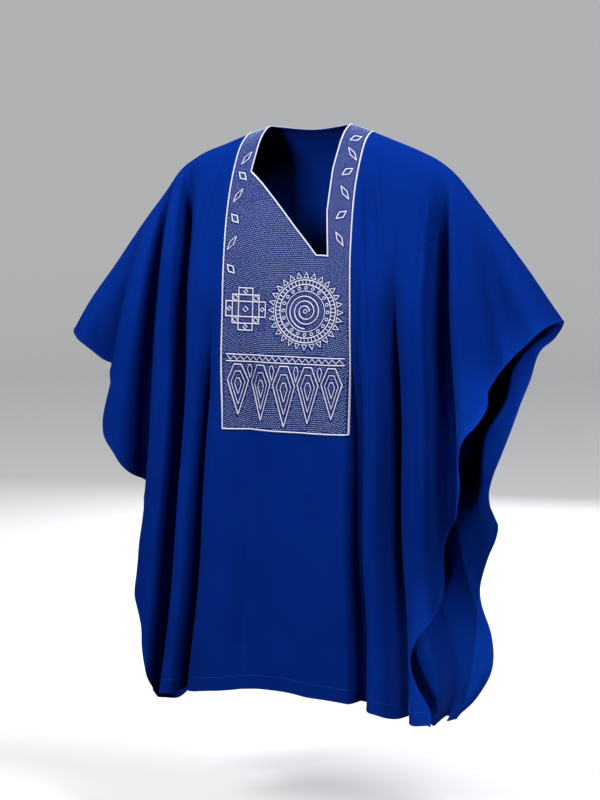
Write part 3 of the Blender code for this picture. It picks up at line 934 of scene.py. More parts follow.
def net_of_back():
    """The flat net of the back panel: rows from the shoulder fold, or the back of the neck, to the hem."""
    right_side, left_side = edge_line(BACK, "right"), edge_line(BACK, "left")
    start, end = NECK_FRONT["across"][0], NECK_FRONT["across"][-1]
    right = np.linspace(0, 1, BACK_COLUMNS[0] + 1)[:-1]
    left = np.linspace(0, 1, BACK_COLUMNS[2] + 1)[1:]
    middle = (start + end) / 2 - (end - start) / 2 * np.cos(np.linspace(0, np.pi, BACK_COLUMNS[1] + 1))

    def line(along):
        """Each column's across, from its along."""
        first = right_side(along[: len(right)])
        last = left_side(along[-len(left) :])
        return np.concatenate([first + (start - first) * right, middle, end + (last - end) * left])

    starts = np.concatenate([np.zeros(len(right)), arc_depth(*NECK_BEHIND, middle), np.zeros(len(left))])
    rows = np.linspace(0, 1, BACK_ROWS + 1) ** BACK_CROWDING
    return down_to(hem_line(BACK), line, starts, rows)


def net_of_band():
    """The flat net of the band behind the neck: straight steps from its inner arc to its outer one."""
    inner, outer = neck_arc_path(*NECK_BEHIND), neck_arc_path(*BAND_BEHIND)
    part = np.linspace(0, 1, BAND_ROWS + 1)[:, None]
    return tuple(inner[:, n] + (outer - inner)[:, n] * part for n in (0, 1))


# Sewing: meshes from nets, cords along paths and stitches at places.


def mesh_piece(name, points, faces, finish, uv=None, marks=None):
    """One piece from arrays of points and faces, with a flat map and marks on its points where given."""
    mesh = bpy.data.meshes.new(name)
    mesh.from_pydata(points.tolist(), [], [face for group in faces for face in group.tolist()])
    mesh.materials.append(finish)
    if uv is not None:
        corners = np.empty(len(mesh.loops), dtype=np.int32)
        mesh.loops.foreach_get("vertex_index", corners)
        mesh.uv_layers.new(name="flat_cloth").data.foreach_set("uv", uv[corners].ravel())
    for mark, values in (marks or {}).items():
        mesh.attributes.new(mark, "FLOAT", "POINT").data.foreach_set("value", values)
    mesh.shade_smooth()
    mesh.set_sharp_from_angle(angle=radians(50))
    piece = bpy.data.objects.new(name, mesh)
    bpy.context.scene.collection.objects.link(piece)
    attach(piece, "root")
    return piece


def cloth_shell(name, side, net, finish, wall, lift=0.0):
    """A closed wall of cloth over a net: the outer face, the inner face a wall's thickness behind it, and a
    rim wherever a face has no neighbour. Its marks are each point's distances from the hem and the side."""
    across, along = net[:2]
    rows, columns = across.shape
    numbers = np.arange(rows * columns).reshape(rows, columns)
    quads = np.stack([numbers[:-1, :-1], numbers[1:, :-1], numbers[1:, 1:], numbers[:-1, 1:]], axis=2)
    quads = quads[net[2]] if len(net) > 2 else quads.reshape(-1, 4)
    if side == BACK:
        quads = quads[:, ::-1]
    used, index = np.unique(quads, return_inverse=True)
    quads = index.reshape(-1, 4)
    flat_across, flat_along = across.ravel()[used], along.ravel()[used]
    outer, out = laid(side, flat_across, flat_along, lift)
    count = len(used)
    starts, ends = quads.ravel(), np.roll(quads, -1, axis=1).ravel()
    lonely = ~np.isin(starts * count + ends, ends * count + starts)
    first, second = starts[lonely], ends[lonely]
    rim = np.stack([second, first, first + count, second + count], axis=1)
    uv = np.tile(np.stack([flat_across, side * flat_along], axis=1), (2, 1))
    from_side = np.minimum(across - across[:, :1], across[:, -1:] - across)
    marks = {
        "from_hem": np.tile((along[-1] - along).ravel()[used], 2),
        "from_side": np.tile(from_side.ravel()[used], 2),
    }
    points = np.concatenate([outer, outer - out * wall])
    return mesh_piece(name, points, (quads, quads[:, ::-1] + count, rim), finish, uv, marks)


def mitred(path, closed):
    """At each point of a flat path, the step to its left that keeps a line's width through the corners."""
    runs = np.diff(path, axis=0, append=path[:1])
    if not closed:
        runs[-1] = runs[-2]
    runs = runs / np.linalg.norm(runs, axis=1, keepdims=True)
    left = np.stack([-runs[:, 1], runs[:, 0]], axis=1)
    before = np.roll(left, 1, axis=0)
    if not closed:
        before[0] = left[0]
    meeting = np.maximum(1 + (left * before).sum(axis=1, keepdims=True), 0.5)
    return (left + before) / meeting


def moved(path, distance, closed=False):
    """A flat path moved sideways, to its left, by a distance."""
    return path + mitred(path, closed) * distance


def dotted(corners, step, closed=False):
    """A flat path through its corners, with points about a step apart on each straight run."""
    corners = np.asarray(corners, dtype=float)
    if closed:
        corners = np.concatenate([corners, corners[:1]])
    runs = []
    for start, end in zip(corners[:-1], corners[1:]):
        count = max(1, round(hypot(*(end - start)) / step))
        runs.append(start + (end - start) * np.arange(count)[:, None] / count)
    return np.concatenate(runs if closed else [*runs, corners[-1:]])


def cord_on_cloth(side, path, size, closed, lift=GROUND_TOP):
    """A satin-stitched cord along a flat path: half an ellipse of the given half width and height, carried
    over the cloth with mitred corners, and closed underneath and at its ends."""
    half_width, height = size
    turns = np.linspace(0, np.pi, CORD_BEND)
    flat = path[:, None] + mitred(path, closed)[:, None] * (half_width * np.cos(turns))[None, :, None]
    rise = lift - CORD_SINK + (height + CORD_SINK) * np.sin(turns)
    points, _ = laid(side, flat[..., 0], flat[..., 1], rise)
    numbers = np.arange(len(path) * CORD_BEND).reshape(len(path), CORD_BEND)
    after = np.roll(numbers, -1, axis=0)
    if not closed:
        numbers, after = numbers[:-1], after[:-1]
    beside, after_beside = np.roll(numbers, -1, axis=1), np.roll(after, -1, axis=1)
    groups = [np.stack([numbers, beside, after_beside, after], axis=2).reshape(-1, 4)]
    if not closed:
        groups += [numbers[:1, ::-1], after[-1:]]
    if side == FRONT:
        groups = [group[:, ::-1] for group in groups]
    uv = np.stack(np.meshgrid(half_width * np.cos(turns), lengths_along(path)), axis=2)
    return points.reshape(-1, 3), groups, uv.reshape(-1, 2)


def joined(parts):
    """Several (points, faces, map) as one."""
    points, groups, maps, count = [], [], [], 0
    for part_points, part_groups, part_map in parts:
        groups += [group + count for group in part_groups]
        points.append(part_points)
        maps.append(part_map)
        count += len(part_points)
    return np.concatenate(points), groups, np.concatenate(maps)


def cords_piece(name, cords, finish):
    """One piece of all the given cords, each (side, path, size, closed)."""
    points, groups, uv = joined([cord_on_cloth(*cord) for cord in cords])
    return mesh_piece(name, points, groups, finish, uv)


def stitches_piece(name, side, places, lean, size, finish, lift=GROUND_TOP):
    """Single stitches: each is a lens of eight faces, with two ends, two sides, a crown and a foot, turned by
    its lean on the cloth. Size is the length, width and height."""
    length, width, height = size
    step_x, step_y = np.cos(lean), np.sin(lean)
    ends = np.stack([step_x, step_y], axis=1) * length / 2
    sides = np.stack([-step_y, step_x], axis=1) * width / 2
    zero = np.zeros_like(ends)
    flat = places[:, None] + np.stack([ends, sides, -ends, -sides, zero, zero], axis=1)
    points, _ = laid(side, flat[..., 0], flat[..., 1], lift + height * LENS_RISE)
    faces = (np.arange(len(places)) * 6)[:, None, None] + LENS
    faces = faces.reshape(-1, 3)
    if side == FRONT:
        faces = faces[:, ::-1]
    return mesh_piece(name, points.reshape(-1, 3), (faces,), finish, np.repeat(places, 6, axis=0))


def rolled_edge(side, path, radius):
    """A narrow rolled hem: a circle carried along the draped edge of the cloth, closed at its ends."""
    points, out = laid(side, path[:, 0], path[:, 1])
    points = points - out * CLOTH_WALL / 2
    ahead = np.gradient(points, axis=0)
    beside = np.cross(ahead, out)
    beside /= np.linalg.norm(beside, axis=1, keepdims=True)
    ahead /= np.linalg.norm(ahead, axis=1, keepdims=True)
    out = np.cross(beside, ahead)
    turns = np.arange(ROLL_SIDES) * 2 * np.pi / ROLL_SIDES
    ring_way = out[:, None] * np.cos(turns)[:, None] + beside[:, None] * np.sin(turns)[:, None]
    numbers = np.arange(len(path) * ROLL_SIDES).reshape(len(path), ROLL_SIDES)
    near, far = numbers[:-1], numbers[1:]
    quads = np.stack([near, np.roll(near, -1, axis=1), np.roll(far, -1, axis=1), far], axis=2)
    uv = np.stack(np.meshgrid(turns * radius, lengths_along(points)), axis=2).reshape(-1, 2)
    tube = points[:, None] + ring_way * radius
    return tube.reshape(-1, 3), [quads.reshape(-1, 4), numbers[:1, ::-1], numbers[-1:]], uv


def rolled_hems(name, side, net, finish):
    """The rolled hems of one panel, down both its sides and along its bottom."""
    across, along = net[:2]
    lines = [(across[:, 0], along[:, 0]), (across[:, -1], along[:, -1]), (across[-1], along[-1])]
    points, groups, uv = joined([rolled_edge(side, np.stack(line, axis=1), ROLL_HALF) for line in lines])
    return mesh_piece(name, points, groups, finish, uv)


def hem_stitches(name, side, net, finish):
    """The row of stitches that holds the turned-up hem, a set way above the panel's bottom edge."""
    low_across, low_along = net[0][-1], net[1][-1]
    across = np.arange(low_across[0] + HEM_STITCH_END, low_across[-1] - HEM_STITCH_END, HEM_STITCH_STEP)
    along = np.interp(across, low_across, low_along) - HEM_STITCH_RISE
    lean = np.arctan2(np.gradient(along), np.gradient(across))
    places = np.stack([across, along], axis=1)
    return stitches_piece(name, side, places, lean, HEM_STITCH, finish, HEM_STITCH_LIFT)


# The chest design, as flat paths.


def on_cloth(path):
    """A path given by across and height, on the flat cloth."""
    return np.stack([path[:, 0], along_of(path[:, 0], path[:, 1])], axis=1)


def ring(middle, radius, step=CORD_STEP):
    """A circle about a middle."""
    turns = np.linspace(0, 2 * np.pi, max(12, round(2 * np.pi * radius / step)), endpoint=False)
    return np.stack([middle[0] + radius * np.cos(turns), middle[1] + radius * np.sin(turns)], axis=1)


def spiral(middle, inner, outer, turns_round):
    """A spiral whose radius grows evenly from inner to outer."""
    part = np.linspace(0, 1, round(turns_round * SPIRAL_POINTS))
    radius = inner + (outer - inner) * part
    turn = 2 * np.pi * turns_round * part
    return np.stack([middle[0] + radius * np.cos(turn), middle[1] + radius * np.sin(turn)], axis=1)


def evenly_round(count):
    """Evenly spaced turns round a circle."""
    return np.arange(count) * 2 * pi / count


def spoke(middle, turn, inner, outer):
    """A short straight run outwards from a middle."""
    way = np.array([cos(turn), sin(turn)])
    return np.array([middle + way * inner, middle + way * (inner + outer) / 2, middle + way * outer])


def tooth(middle, turn, base, tip, half_turn):
    """A small triangle that stands on a circle about a middle and points outwards."""
    corners = [(turn - half_turn, base), (turn + half_turn, base), (turn, tip)]
    corners = [(middle[0] + radius * cos(way), middle[1] + radius * sin(way)) for way, radius in corners]
    return dotted(corners, FINE_CORD_STEP, True)


def lozenge(across, along, length, width, lean):
    """A lozenge whose long way leans from level, in degrees, rising to the left of the wearer."""
    long_way = np.array([cos(radians(lean)), -sin(radians(lean))]) * length / 2
    short_way = np.array([sin(radians(lean)), cos(radians(lean))]) * width / 2
    middle = np.array([across, along])
    corners = [middle + long_way, middle + short_way, middle - long_way, middle - short_way]
    return dotted(corners, FINE_CORD_STEP, True)


def square_on_end(middle, reach):
    """A small square that stands on one corner."""
    corners = np.array([(reach, 0), (0, reach), (-reach, 0), (0, -reach)])
    return dotted(corners + middle, FINE_CORD_STEP, True)


def block(middle, half_wide, half_high):
    """An upright rectangle about a middle."""
    corners = np.array([(-1, -1), (1, -1), (1, 1), (-1, 1)]) * (half_wide, half_high)
    return dotted(corners + middle, CORD_STEP, True)


def knife(across, top, length, width, share=1.0):
    """A blade that hangs point down: narrow at its top, widest a third of the way down. A smaller share of it
    is drawn about the same middle."""
    halves, down = KNIFE_HALVES["half"], KNIFE_MIDDLE - KNIFE_HALVES["down"]
    corners = np.stack([[-halves[0], *halves, -halves[1]], [down[0], *down, down[1]]], axis=1)
    corners = corners * (width, length) * share
    return dotted(corners + (across, top - KNIFE_MIDDLE * length), CORD_STEP, True)


def zigzag(start, end, middle, reach, step):
    """A level zigzag about a middle height."""
    count = round((end - start) / step)
    across = np.linspace(start, end, count + 1)
    height = middle + reach * (-1.0) ** np.arange(count + 1)
    return dotted(np.stack([across, height], axis=1), CORD_STEP)


def field_path():
    """The outline of the field from the shoulder down one side, over the bottom and up the other side."""
    right, left = (float(field_bottom(FIELD_SIDES[hand][-1:])[0]) for hand in ("right", "left"))
    down, up = np.linspace(0, right, 160), np.linspace(left, 0, 160)
    level = np.linspace(FIELD_SIDES["right"][-1], FIELD_SIDES["left"][-1], 70)[1:-1]
    return np.concatenate(
        [
            np.stack([field_side("right")(down), down], axis=1),
            np.stack([level, field_bottom(level)], axis=1),
            np.stack([field_side("left")(up), up], axis=1),
        ]
    )


def neck_path():
    """The neck's own edge in front, from the shoulder to the slit and back up."""
    return dotted(np.stack(list(NECK_FRONT.values()), axis=1), EDGE_STEP)


def outline_cords():
    """The cords round the field just inside its edges, in front and behind the neck."""
    inset = OUTLINE_CORD[0]
    return [
        (FRONT, moved(field_path(), -inset), OUTLINE_CORD, False),
        (FRONT, moved(neck_path(), inset), OUTLINE_CORD, False),
        (BACK, moved(neck_arc_path(*NECK_BEHIND), inset), OUTLINE_CORD, False),
        (BACK, moved(neck_arc_path(*BAND_BEHIND), -inset), OUTLINE_CORD, False),
    ]


def lozenge_cords():
    """The rows of small open lozenges down both strips, and the few behind the neck."""
    return [
        (side, lozenge(across, along, *LOZENGE_SIZE, lean), LOZENGE_CORD, True)
        for side, rows in ((FRONT, LOZENGES), (BACK, LOZENGES_BEHIND))
        for across, along, lean in zip(*rows.values())
    ]


def design_cord(path, size, closed=True):
    """A cord of the chest design, from its path by across and height."""
    return FRONT, on_cloth(path), size, closed


def disc_cords():
    """The ringed disc: three rings with a ladder and beads between them, a spiral, and teeth round it all."""
    middle = np.array(DISC_MIDDLE)
    cords = [
        design_cord(ring(middle, DISC_RADIUS), MOTIF_CORD),
        design_cord(ring(middle, DISC_RADIUS - DISC_INNER_RING), MOTIF_CORD),
        design_cord(ring(middle, DISC_RADIUS - DISC_BEAD_RING), FINE_CORD),
        design_cord(spiral(middle, SPIRAL_START, DISC_RADIUS - SPIRAL_END, SPIRAL_TURNS), MOTIF_CORD, False),
        design_cord(ring(middle, DISC_EYE, 0.002), FINE_CORD),
    ]
    for turn in evenly_round(DISC_RUNGS):
        rung = spoke(middle, turn, *(DISC_RADIUS - inside for inside in DISC_RUNG))
        cords.append(design_cord(rung, FINE_CORD, False))
    for turn in evenly_round(DISC_BEADS):
        bead = middle + (DISC_RADIUS - DISC_BEAD_LINE) * np.array([cos(turn), sin(turn)])
        cords.append(design_cord(ring(bead, DISC_BEAD, 0.0018), FINE_CORD))
    for turn in evenly_round(DISC_TEETH):
        base, tip = (DISC_RADIUS - inside for inside in DISC_TOOTH)
        cords.append(design_cord(tooth(middle, turn, base, tip, DISC_TOOTH_HALF_TURN), FINE_CORD))
    return cords


def knot_cords():
    """The knot: three crossed blocks with small squares on end."""
    middle = np.array(KNOT_MIDDLE)
    cords = []
    for wide, high in KNOT_BLOCKS:
        cords.append(design_cord(block(middle, KNOT_REACH * wide, KNOT_REACH * high), MOTIF_CORD))
    for reach, places in (KNOT_LARGE_SQUARES, KNOT_SMALL_SQUARES):
        for place in places:
            cords.append(design_cord(square_on_end(middle + KNOT_REACH * np.array(place), reach), FINE_CORD))
    return cords


def rail_cords():
    """The pair of rails and the zigzag between them."""
    start, end = RAIL_ENDS
    cords = [
        design_cord(dotted([(start, height), (end, height)], EDGE_STEP), MOTIF_CORD, False)
        for height in (RAIL_HEIGHT, RAIL_HEIGHT - RAIL_GAP)
    ]
    middle = RAIL_HEIGHT - RAIL_GAP / 2
    path = zigzag(start + ZIGZAG_INSET, end - ZIGZAG_INSET, middle, ZIGZAG_REACH, ZIGZAG_STEP)
    return [*cords, design_cord(path, FINE_CORD, False)]


def knife_cords():
    """The row of knives, each with smaller ones inside it, and the narrow spacers between them."""
    cords = []
    for across, length, width in zip(*KNIVES.values()):
        for share, size in KNIFE_SHARES:
            cords.append(design_cord(knife(across, KNIFE_TOP, length, width, share), size))
    for across, length, width in zip(*SPACERS.values()):
        cords.append(design_cord(knife(across, KNIFE_TOP, length, width), FINE_CORD))
    return cords


def design_cords():
    """The chest design: the disc, the knot, the rails and the knives."""
    return disc_cords() + knot_cords() + rail_cords() + knife_cords()


def marked_near(paths, margin):
    """A raster of the flat field, marked within a margin of any of the paths."""
    marks = np.zeros(RASTER_SIZE, dtype=bool)
    reach = int(np.ceil(margin / RASTER_STEP))
    steps = np.arange(-reach, reach + 1)
    off = np.stack(np.meshgrid(steps, steps), axis=2).reshape(-1, 2)
    off = off[np.hypot(off[:, 0], off[:, 1]) <= margin / RASTER_STEP]
    for path in paths:
        lengths = lengths_along(path)
        at = np.arange(0, lengths[-1], RASTER_STEP)
        dense = np.stack([np.interp(at, lengths, column) for column in path.T], axis=1)
        cells = raster_cells(dense)[:, None] + off
        cells = np.clip(cells, 0, np.array(RASTER_SIZE) - 1)
        marks[cells[..., 0], cells[..., 1]] = True
    return marks


def raster_cells(places):
    """The raster squares that flat places fall in."""
    return np.round((places - RASTER_START) / RASTER_STEP).astype(int)


def in_raster(marks, places):
    """Which flat places fall in a marked square."""
    cells = np.clip(raster_cells(places), 0, np.array(RASTER_SIZE) - 1)
    return marks[cells[:, 0], cells[:, 1]]


def staggered(step_across, step_along):
    """Flat places over the whole field, in rows that are each half a step off the last."""
    across = np.arange(-STITCH_AREA[0], STITCH_AREA[0], step_across)
    along = np.arange(0.0, STITCH_AREA[1], step_along)
    grid_across, grid_along = np.meshgrid(across, along)
    grid_across = grid_across + (np.arange(len(along)) % 2)[:, None] * step_across / 2
    return np.stack([grid_across.ravel(), grid_along.ravel()], axis=1)


def in_field(places):
    """Which flat places lie in the field in front, clear of the neck."""
    across, along = places.T
    inside = (across > field_side("right")(along)) & (across < field_side("left")(along))
    inside &= along < field_bottom(across)
    in_neck = (across > neck_right(along)) & (across < neck_left(along)) & (along < neck_foot(across))
    return inside & ~in_neck


def in_fine_ground(places):
    """Which flat places have the fine stipple: the tops of the strips, the wearer's left side, and within the
    disc, the knot and the knives."""
    across, along = places.T
    height = shoulder_height(across) - fall(along)
    fine = (along < FINE_ABOVE["right"]) & (across < 0)
    fine |= (along < FINE_ABOVE["left"]) & (across > NECK_FRONT["across"][3] - FINE_INSIDE_SLIT)
    fine |= np.hypot(across - DISC_MIDDLE[0], height - DISC_MIDDLE[1]) < DISC_RADIUS
    reach = np.maximum(np.abs(across - KNOT_MIDDLE[0]), np.abs(height - KNOT_MIDDLE[1]))
    fine |= reach < KNOT_REACH
    between_rails = (height < RAIL_HEIGHT) & (height > RAIL_HEIGHT - RAIL_GAP)
    fine |= between_rails & (across > RAIL_ENDS[0]) & (across < RAIL_ENDS[1])
    for middle, length, width in zip(*KNIVES.values()):
        down = (KNIFE_TOP - height) / length
        half = np.interp(down, KNIFE_HALVES["down"], KNIFE_HALVES["half"]) * width
        fine |= (down > 0) & (down < 1) & (np.abs(across - middle) < half)
    return fine


def traced(path, closed):
    """A path with its first point again at its end where it is closed."""
    return np.concatenate([path, path[:1]]) if closed else path


def ground_stitches(cords, thread):
    """The stitched ground in front: coarse arcs of three stitches in staggered rows, and a fine stipple in
    the motifs and strips, both held clear of every cord."""
    spread = np.random.default_rng(7)
    paths = [traced(path, closed) for side, path, _, closed in cords if side == FRONT]
    bare = marked_near(paths, BARE_MARGIN)
    cells = staggered(*ARC_STEP)
    cells = cells[in_field(cells) & ~in_fine_ground(cells) & ~in_raster(bare, cells)]
    cells = cells + spread.normal(0, ARC_STRAY, cells.shape)
    places = (cells[:, None] + ARC_PLACES).reshape(-1, 2)
    lean = np.tile(ARC_LEANS, len(cells)) + spread.normal(0, ARC_TURN_STRAY, len(places))
    coarse = stitches_piece("field_arc_stitches", FRONT, places, lean, ARC_STITCH, thread)
    dots = staggered(*STIPPLE_STEP)
    dots = dots[in_field(dots) & in_fine_ground(dots) & ~in_raster(bare, dots)]
    dots = dots + spread.normal(0, STIPPLE_STRAY, dots.shape)
    lean = spread.uniform(0, pi, len(dots))
    fine = stitches_piece("field_stipple_stitches", FRONT, dots, lean, STIPPLE_STITCH, thread)
    return coarse, fine


def band_stitches(cords, thread):
    """The fine stipple of the band behind the neck, clear of its cords and lozenges."""
    spread = np.random.default_rng(11)
    dots = staggered(*STIPPLE_STEP)
    across, along = dots.T
    inner, outer = (arc_depth(*arc, across) for arc in (NECK_BEHIND, BAND_BEHIND))
    dots = dots[(along > inner) & (along < outer)]
    bare = marked_near([path for side, path, _, _ in cords if side == BACK], BARE_MARGIN)
    dots = dots[~in_raster(bare, dots)]
    dots = dots + spread.normal(0, STIPPLE_STRAY, dots.shape)
    lean = spread.uniform(0, pi, len(dots))
    return stitches_piece("band_stipple_stitches", BACK, dots, lean, STIPPLE_STITCH, thread)


# Finishes.


def node(tree, kind, inputs=None, **settings):
    """One shader node. Each input, by name or number, is a value to set or a socket to join."""
    made = tree.nodes.new("ShaderNode" + kind)
    for name, value in settings.items():
        setattr(made, name, value)
    for name, value in (inputs or {}).items():
        if isinstance(value, bpy.types.NodeSocket):
            tree.links.new(value, made.inputs[name])
        else:
            made.inputs[name].default_value = value
    return made


def sums(tree, operation, first, second=0.0, third=0.0):
    """One step of arithmetic on values."""
    return node(tree, "Math", {0: first, 1: second, 2: third}, operation=operation).outputs[0]


def mixed(tree, share, first, second):
    """A colour between two colours."""
    made = node(tree, "Mix", data_type="RGBA")
    for name, value in (("Factor_Float", share), ("A_Color", first), ("B_Color", second)):
        socket = next(found for found in made.inputs if found.identifier == name)
        if isinstance(value, bpy.types.NodeSocket):
            tree.links.new(value, socket)
        else:
            socket.default_value = value if name == "Factor_Float" else (*value, 1)
    return next(found for found in made.outputs if found.identifier == "Result_Color")


def noise(tree, place, scale, detail=2.0, roughness=0.5):
    """A soft noise of tone, from 0 to 1, at a scale and with finer detail added."""
    inputs = {"Vector": place, "Scale": scale, "Detail": detail, "Roughness": roughness}
    return node(tree, "TexNoise", inputs).outputs[0]


def stretched_noise(tree, place, stretch, detail):
    """Noise drawn out into threads: the place is multiplied by its stretch first."""
    drawn = node(tree, "Mapping", {"Vector": place, "Scale": stretch}).outputs[0]
    return noise(tree, drawn, 1.0, detail)


def ramp(tree, value, low, high, at_low, at_high, kind="LINEAR"):
    """A value turned into another, from at_low at the low end to at_high at the high end."""
    inputs = {0: value, 1: low, 2: high, 3: at_low, 4: at_high}
    return node(tree, "MapRange", inputs, interpolation_type=kind).outputs[0]


def flat_place(tree):
    """The place on the flat cloth, in metres."""
    return node(tree, "UVMap", uv_map="flat_cloth").outputs["UV"]


def solid_place(tree):
    """The place in the robe's own frame, in metres."""
    return node(tree, "TexCoord").outputs["Object"]


def coloured(tree, shader, share, low, high):
    """Give the shader a colour between two colours."""
    tree.links.new(mixed(tree, share, low, high), shader.inputs["Base Color"])


def raised(tree, shader, height, strength, distance):
    """Give the shader a relief."""
    bump = node(tree, "Bump", {"Height": height, "Strength": strength, "Distance": distance})
    tree.links.new(bump.outputs[0], shader.inputs["Normal"])


def new_finish(name, roughness, specular, sheen=0.0, sheen_tint=(1, 1, 1)):
    """A finish with its even values set on the shader itself."""
    made = bpy.data.materials.new(name)
    made.use_nodes = True
    shader = made.node_tree.nodes["Principled BSDF"]
    shader.inputs["Roughness"].default_value = roughness
    shader.inputs["Specular IOR Level"].default_value = specular
    shader.inputs["Sheen Weight"].default_value = sheen
    shader.inputs["Sheen Roughness"].default_value = 0.45
    shader.inputs["Sheen Tint"].default_value = (*sheen_tint, 1)
    return made, made.node_tree, shader


def cloth_finish(name, hemmed):
    """Plain-weave cloth: crossing threads, faint slubs along the weft and a slow change of tone. On a hemmed
    panel the line of hem stitches is drawn in a little, and a painted highlight makes the cloth beside the
    free edges lighter."""
    made, tree, shader = new_finish(name, 0.80, 0.008, 0.10, CLOTH_SHEEN)
    flat = flat_place(tree)
    threads = node(tree, "VectorMath", {0: flat, 1: (2 * pi / WEAVE_STEP,) * 3}, operation="MULTIPLY")
    ways = node(tree, "SeparateXYZ", {0: threads.outputs[0]})
    weave = sums(tree, "MULTIPLY", sums(tree, "SINE", ways.outputs[0]), sums(tree, "SINE", ways.outputs[1]))
    slubs = stretched_noise(tree, flat, SLUB_STRETCH, 3.0)
    warps = stretched_noise(tree, flat, WARP_STRETCH, 2.0)
    tone = noise(tree, solid_place(tree), 5.0, 3.0, 0.6)
    share = sums(tree, "MULTIPLY_ADD", tone, 0.55, 0.08)
    share = sums(tree, "MULTIPLY_ADD", slubs, 0.40, share)
    share = sums(tree, "MULTIPLY_ADD", weave, 0.05, share)
    height = sums(tree, "MULTIPLY_ADD", slubs, 0.8, sums(tree, "MULTIPLY_ADD", warps, 0.5, weave))
    if hemmed:
        from_hem = node(tree, "Attribute", attribute_name="from_hem").outputs["Fac"]
        off_line = sums(tree, "ABSOLUTE", sums(tree, "SUBTRACT", from_hem, HEM_STITCH_RISE))
        line = ramp(tree, off_line, 0.0, HEM_LINE_HALF, 1.0, 0.0, "SMOOTHSTEP")
        share = sums(tree, "MULTIPLY_ADD", line, 0.35, share)
        height = sums(tree, "MULTIPLY_ADD", line, -2.5, height)
        # Painted highlight: the cloth within a few millimetres of the free side edges is drawn lighter in
        # colour.
        from_side = node(tree, "Attribute", attribute_name="from_side").outputs["Fac"]
        share = sums(tree, "ADD", share, ramp(tree, from_side, 0.0, EDGE_HIGHLIGHT_WIDTH, 0.5, 0.0))
    share = sums(tree, "MINIMUM", sums(tree, "MAXIMUM", share, 0.0), 1.0)
    coloured(tree, shader, share, CLOTH_DEEP, CLOTH_LIGHT)
    raised(tree, shader, height, 0.22, 0.0002)
    return made


def thread_finish(name, light, shade, stripe):
    """Satin thread: fine stripes across the line of stitching, each a little different in tone."""
    made, tree, shader = new_finish(name, 0.45, 0.30, 0.10)
    ways = node(tree, "SeparateXYZ", {0: flat_place(tree)})
    slanted = sums(tree, "MULTIPLY_ADD", ways.outputs[0], 0.35, ways.outputs[1])
    ribs = sums(tree, "SINE", sums(tree, "MULTIPLY", slanted, 2 * pi / stripe))
    share = sums(tree, "MULTIPLY_ADD", ribs, 0.16, noise(tree, solid_place(tree), 420.0))
    coloured(tree, shader, share, shade, light)
    raised(tree, shader, ribs, 0.5, 0.0002)
    return made


def ground_finish(name):
    """The blue ground under the stitching, flecked and dimpled where the thread dips into it."""
    made, tree, shader = new_finish(name, 0.65, 0.15, 0.10, GROUND_SHEEN)
    flat = flat_place(tree)
    flecks = node(tree, "TexVoronoi", {"Vector": flat, "Scale": 620.0, "Randomness": 0.9})
    fleck = ramp(tree, flecks.outputs["Distance"], 0.15, 0.62, 1.0, 0.0)
    coloured(tree, shader, sums(tree, "MULTIPLY", fleck, noise(tree, flat, 150.0)), GROUND_DEEP, GROUND_LIGHT)
    raised(tree, shader, fleck, 0.6, 0.0004)
    return made


def stage_finish():
    """The pale, plain paper of the floor and wall, with a little light of its own."""
    made, tree, shader = new_finish("stage_paper", 0.9, 0.1)
    low, high = (tuple(part * share for part in STAGE_TONE) for share in (0.97, 1.03))
    coloured(tree, shader, noise(tree, solid_place(tree), 0.6), low, high)
    shader.inputs["Emission Color"].default_value = (*STAGE_TONE, 1)
    shader.inputs["Emission Strength"].default_value = STAGE_GLOW
    return made


# The stage, the lights and the camera.


def stage(finish):
    """A round floor that sweeps up into a wall all round: a profile turned about the upright axis."""
    bend = np.linspace(0, np.pi / 2, 12)
    radius = np.concatenate([FLOOR_RINGS, WALL_RADIUS - SWEEP + SWEEP * np.sin(bend), [WALL_RADIUS]])
    rise = np.concatenate([np.zeros(len(FLOOR_RINGS)), SWEEP - SWEEP * np.cos(bend), [WALL_TOP]])
    turns = np.arange(STAGE_SIDES) * 2 * np.pi / STAGE_SIDES
    radius, height, turns = np.broadcast_arrays(radius[:, None], rise[:, None] + FLOOR_HEIGHT, turns)
    points = np.stack([radius * np.cos(turns), radius * np.sin(turns), height], axis=2)
    numbers = np.arange(turns.size).reshape(turns.shape)
    near, far = numbers[:-1], numbers[1:]
    quads = np.stack([near, far, np.roll(far, -1, axis=1), np.roll(near, -1, axis=1)], axis=2)
    mesh = bpy.data.meshes.new("stage_sweep")
    faces = [*quads.reshape(-1, 4).tolist(), numbers[0].tolist()]
    mesh.from_pydata(points.reshape(-1, 3).tolist(), [], faces)
    mesh.materials.append(finish)
    mesh.shade_smooth()
    made = bpy.data.objects.new("stage_sweep", mesh)
    bpy.context.scene.collection.objects.link(made)
    made.visible_diffuse = False
    made.visible_glossy = False
    made.visible_transmission = False
    made.visible_shadow = False


def soft_light(name, place, aim, size, power, colour, spread):
    """A square soft box, turned to face its aim. A grid narrows its light to a spread in degrees."""
    light = bpy.data.lights.new(name, "AREA")
    light.size = size
    light.energy = power
    light.color = colour
    light.spread = radians(spread)
    made = bpy.data.objects.new(name, light)
    made.location = place
    made.rotation_euler = (Vector(aim) - Vector(place)).to_track_quat("-Z", "Y").to_euler()
    bpy.context.scene.collection.objects.link(made)


def light_the_stage():
    """All the soft boxes, and the faint even light of the room."""
    for row in LIGHTS:
        soft_light(*row)
    world = bpy.data.worlds.new("studio_air")
    world.use_nodes = True
    air = world.node_tree.nodes["Background"]
    air.inputs["Color"].default_value = (*AIR_COLOUR, 1)
    air.inputs["Strength"].default_value = AIR_STRENGTH
    bpy.context.scene.world = world
    bpy.context.scene.view_settings.view_transform = "Standard"


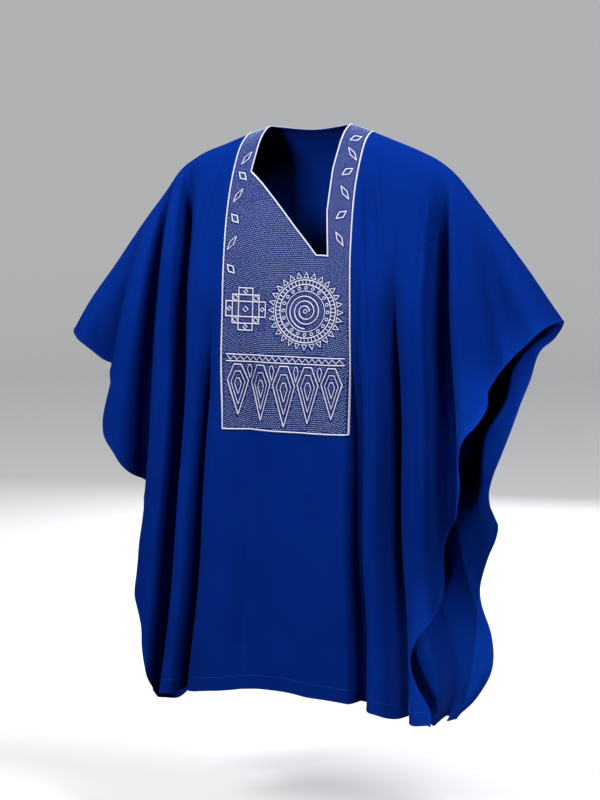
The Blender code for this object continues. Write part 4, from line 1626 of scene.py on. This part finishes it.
def camera():
    """The camera, a little to the wearer's left and above, as far off as the view needs."""
    data = bpy.data.cameras.new("view")
    data.sensor_width = VIEW_SENSOR
    data.lens = VIEW_LENS
    made = bpy.data.objects.new("view", data)
    ahead = Vector((-sin(VIEW_TURN) * cos(VIEW_PITCH), cos(VIEW_TURN) * cos(VIEW_PITCH), -sin(VIEW_PITCH)))
    made.location = Vector(VIEW_AIM) - ahead * VIEW_DISTANCE
    made.rotation_mode = "QUATERNION"
    made.rotation_quaternion = ahead.to_track_quat("-Z", "Y")
    bpy.context.scene.collection.objects.link(made)
    bpy.context.scene.camera = made


def main():
    """Load the frame, sew every piece in its finish, and set the stage."""
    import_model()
    cloth = cloth_finish("royal_blue_plain_weave", True)
    hem_cloth = cloth_finish("royal_blue_rolled_hem", False)
    ground = ground_finish("stitched_blue_ground")
    satin = thread_finish("off_white_satin_thread", THREAD_LIGHT, THREAD_SHADE, SATIN_STRIPE)
    matt = thread_finish("off_white_ground_thread", GROUND_THREAD_LIGHT, GROUND_THREAD_SHADE, MATT_STRIPE)
    blue_thread = thread_finish("blue_hem_thread", HEM_THREAD, CLOTH_LIGHT, MATT_STRIPE)

    front_sides = edge_line(FRONT, "right"), edge_line(FRONT, "left")
    front_net = net_round_neck(*front_sides, hem_line(FRONT), FRONT_COLUMNS, FRONT_ROWS)
    field_sides = field_side("right"), field_side("left")
    field_net = net_round_neck(*field_sides, field_bottom, FIELD_COLUMNS, FIELD_ROWS)
    back_net = net_of_back()

    front = cloth_shell("front_cloth", FRONT, front_net, cloth, CLOTH_WALL)
    back = cloth_shell("back_cloth", BACK, back_net, cloth, CLOTH_WALL)
    ground_wall = GROUND_TOP - GROUND_LOW
    field = cloth_shell("embroidered_field", FRONT, field_net, ground, ground_wall, GROUND_TOP)
    band = cloth_shell("embroidered_neck_band", BACK, net_of_band(), ground, ground_wall, GROUND_TOP)
    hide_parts("front_panel")
    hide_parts("back_panel")
    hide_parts("chest_embroidery")
    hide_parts("back_neck_band")

    front_extras = [
        rolled_hems("front_rolled_hems", FRONT, front_net, hem_cloth),
        hem_stitches("front_hem_stitches", FRONT, front_net, blue_thread),
    ]
    back_extras = [
        rolled_hems("back_rolled_hems", BACK, back_net, hem_cloth),
        hem_stitches("back_hem_stitches", BACK, back_net, blue_thread),
    ]
    outlines, lozenges, design = outline_cords(), lozenge_cords(), design_cords()
    cords = outlines + lozenges + design
    stitching = [
        cords_piece("outline_cords", outlines, satin),
        cords_piece("strip_lozenges", lozenges, satin),
        cords_piece("chest_design_cords", design, satin),
        *ground_stitches(cords, matt),
        band_stitches(cords, matt),
    ]

    stage(stage_finish())
    light_the_stage()
    camera()


main()
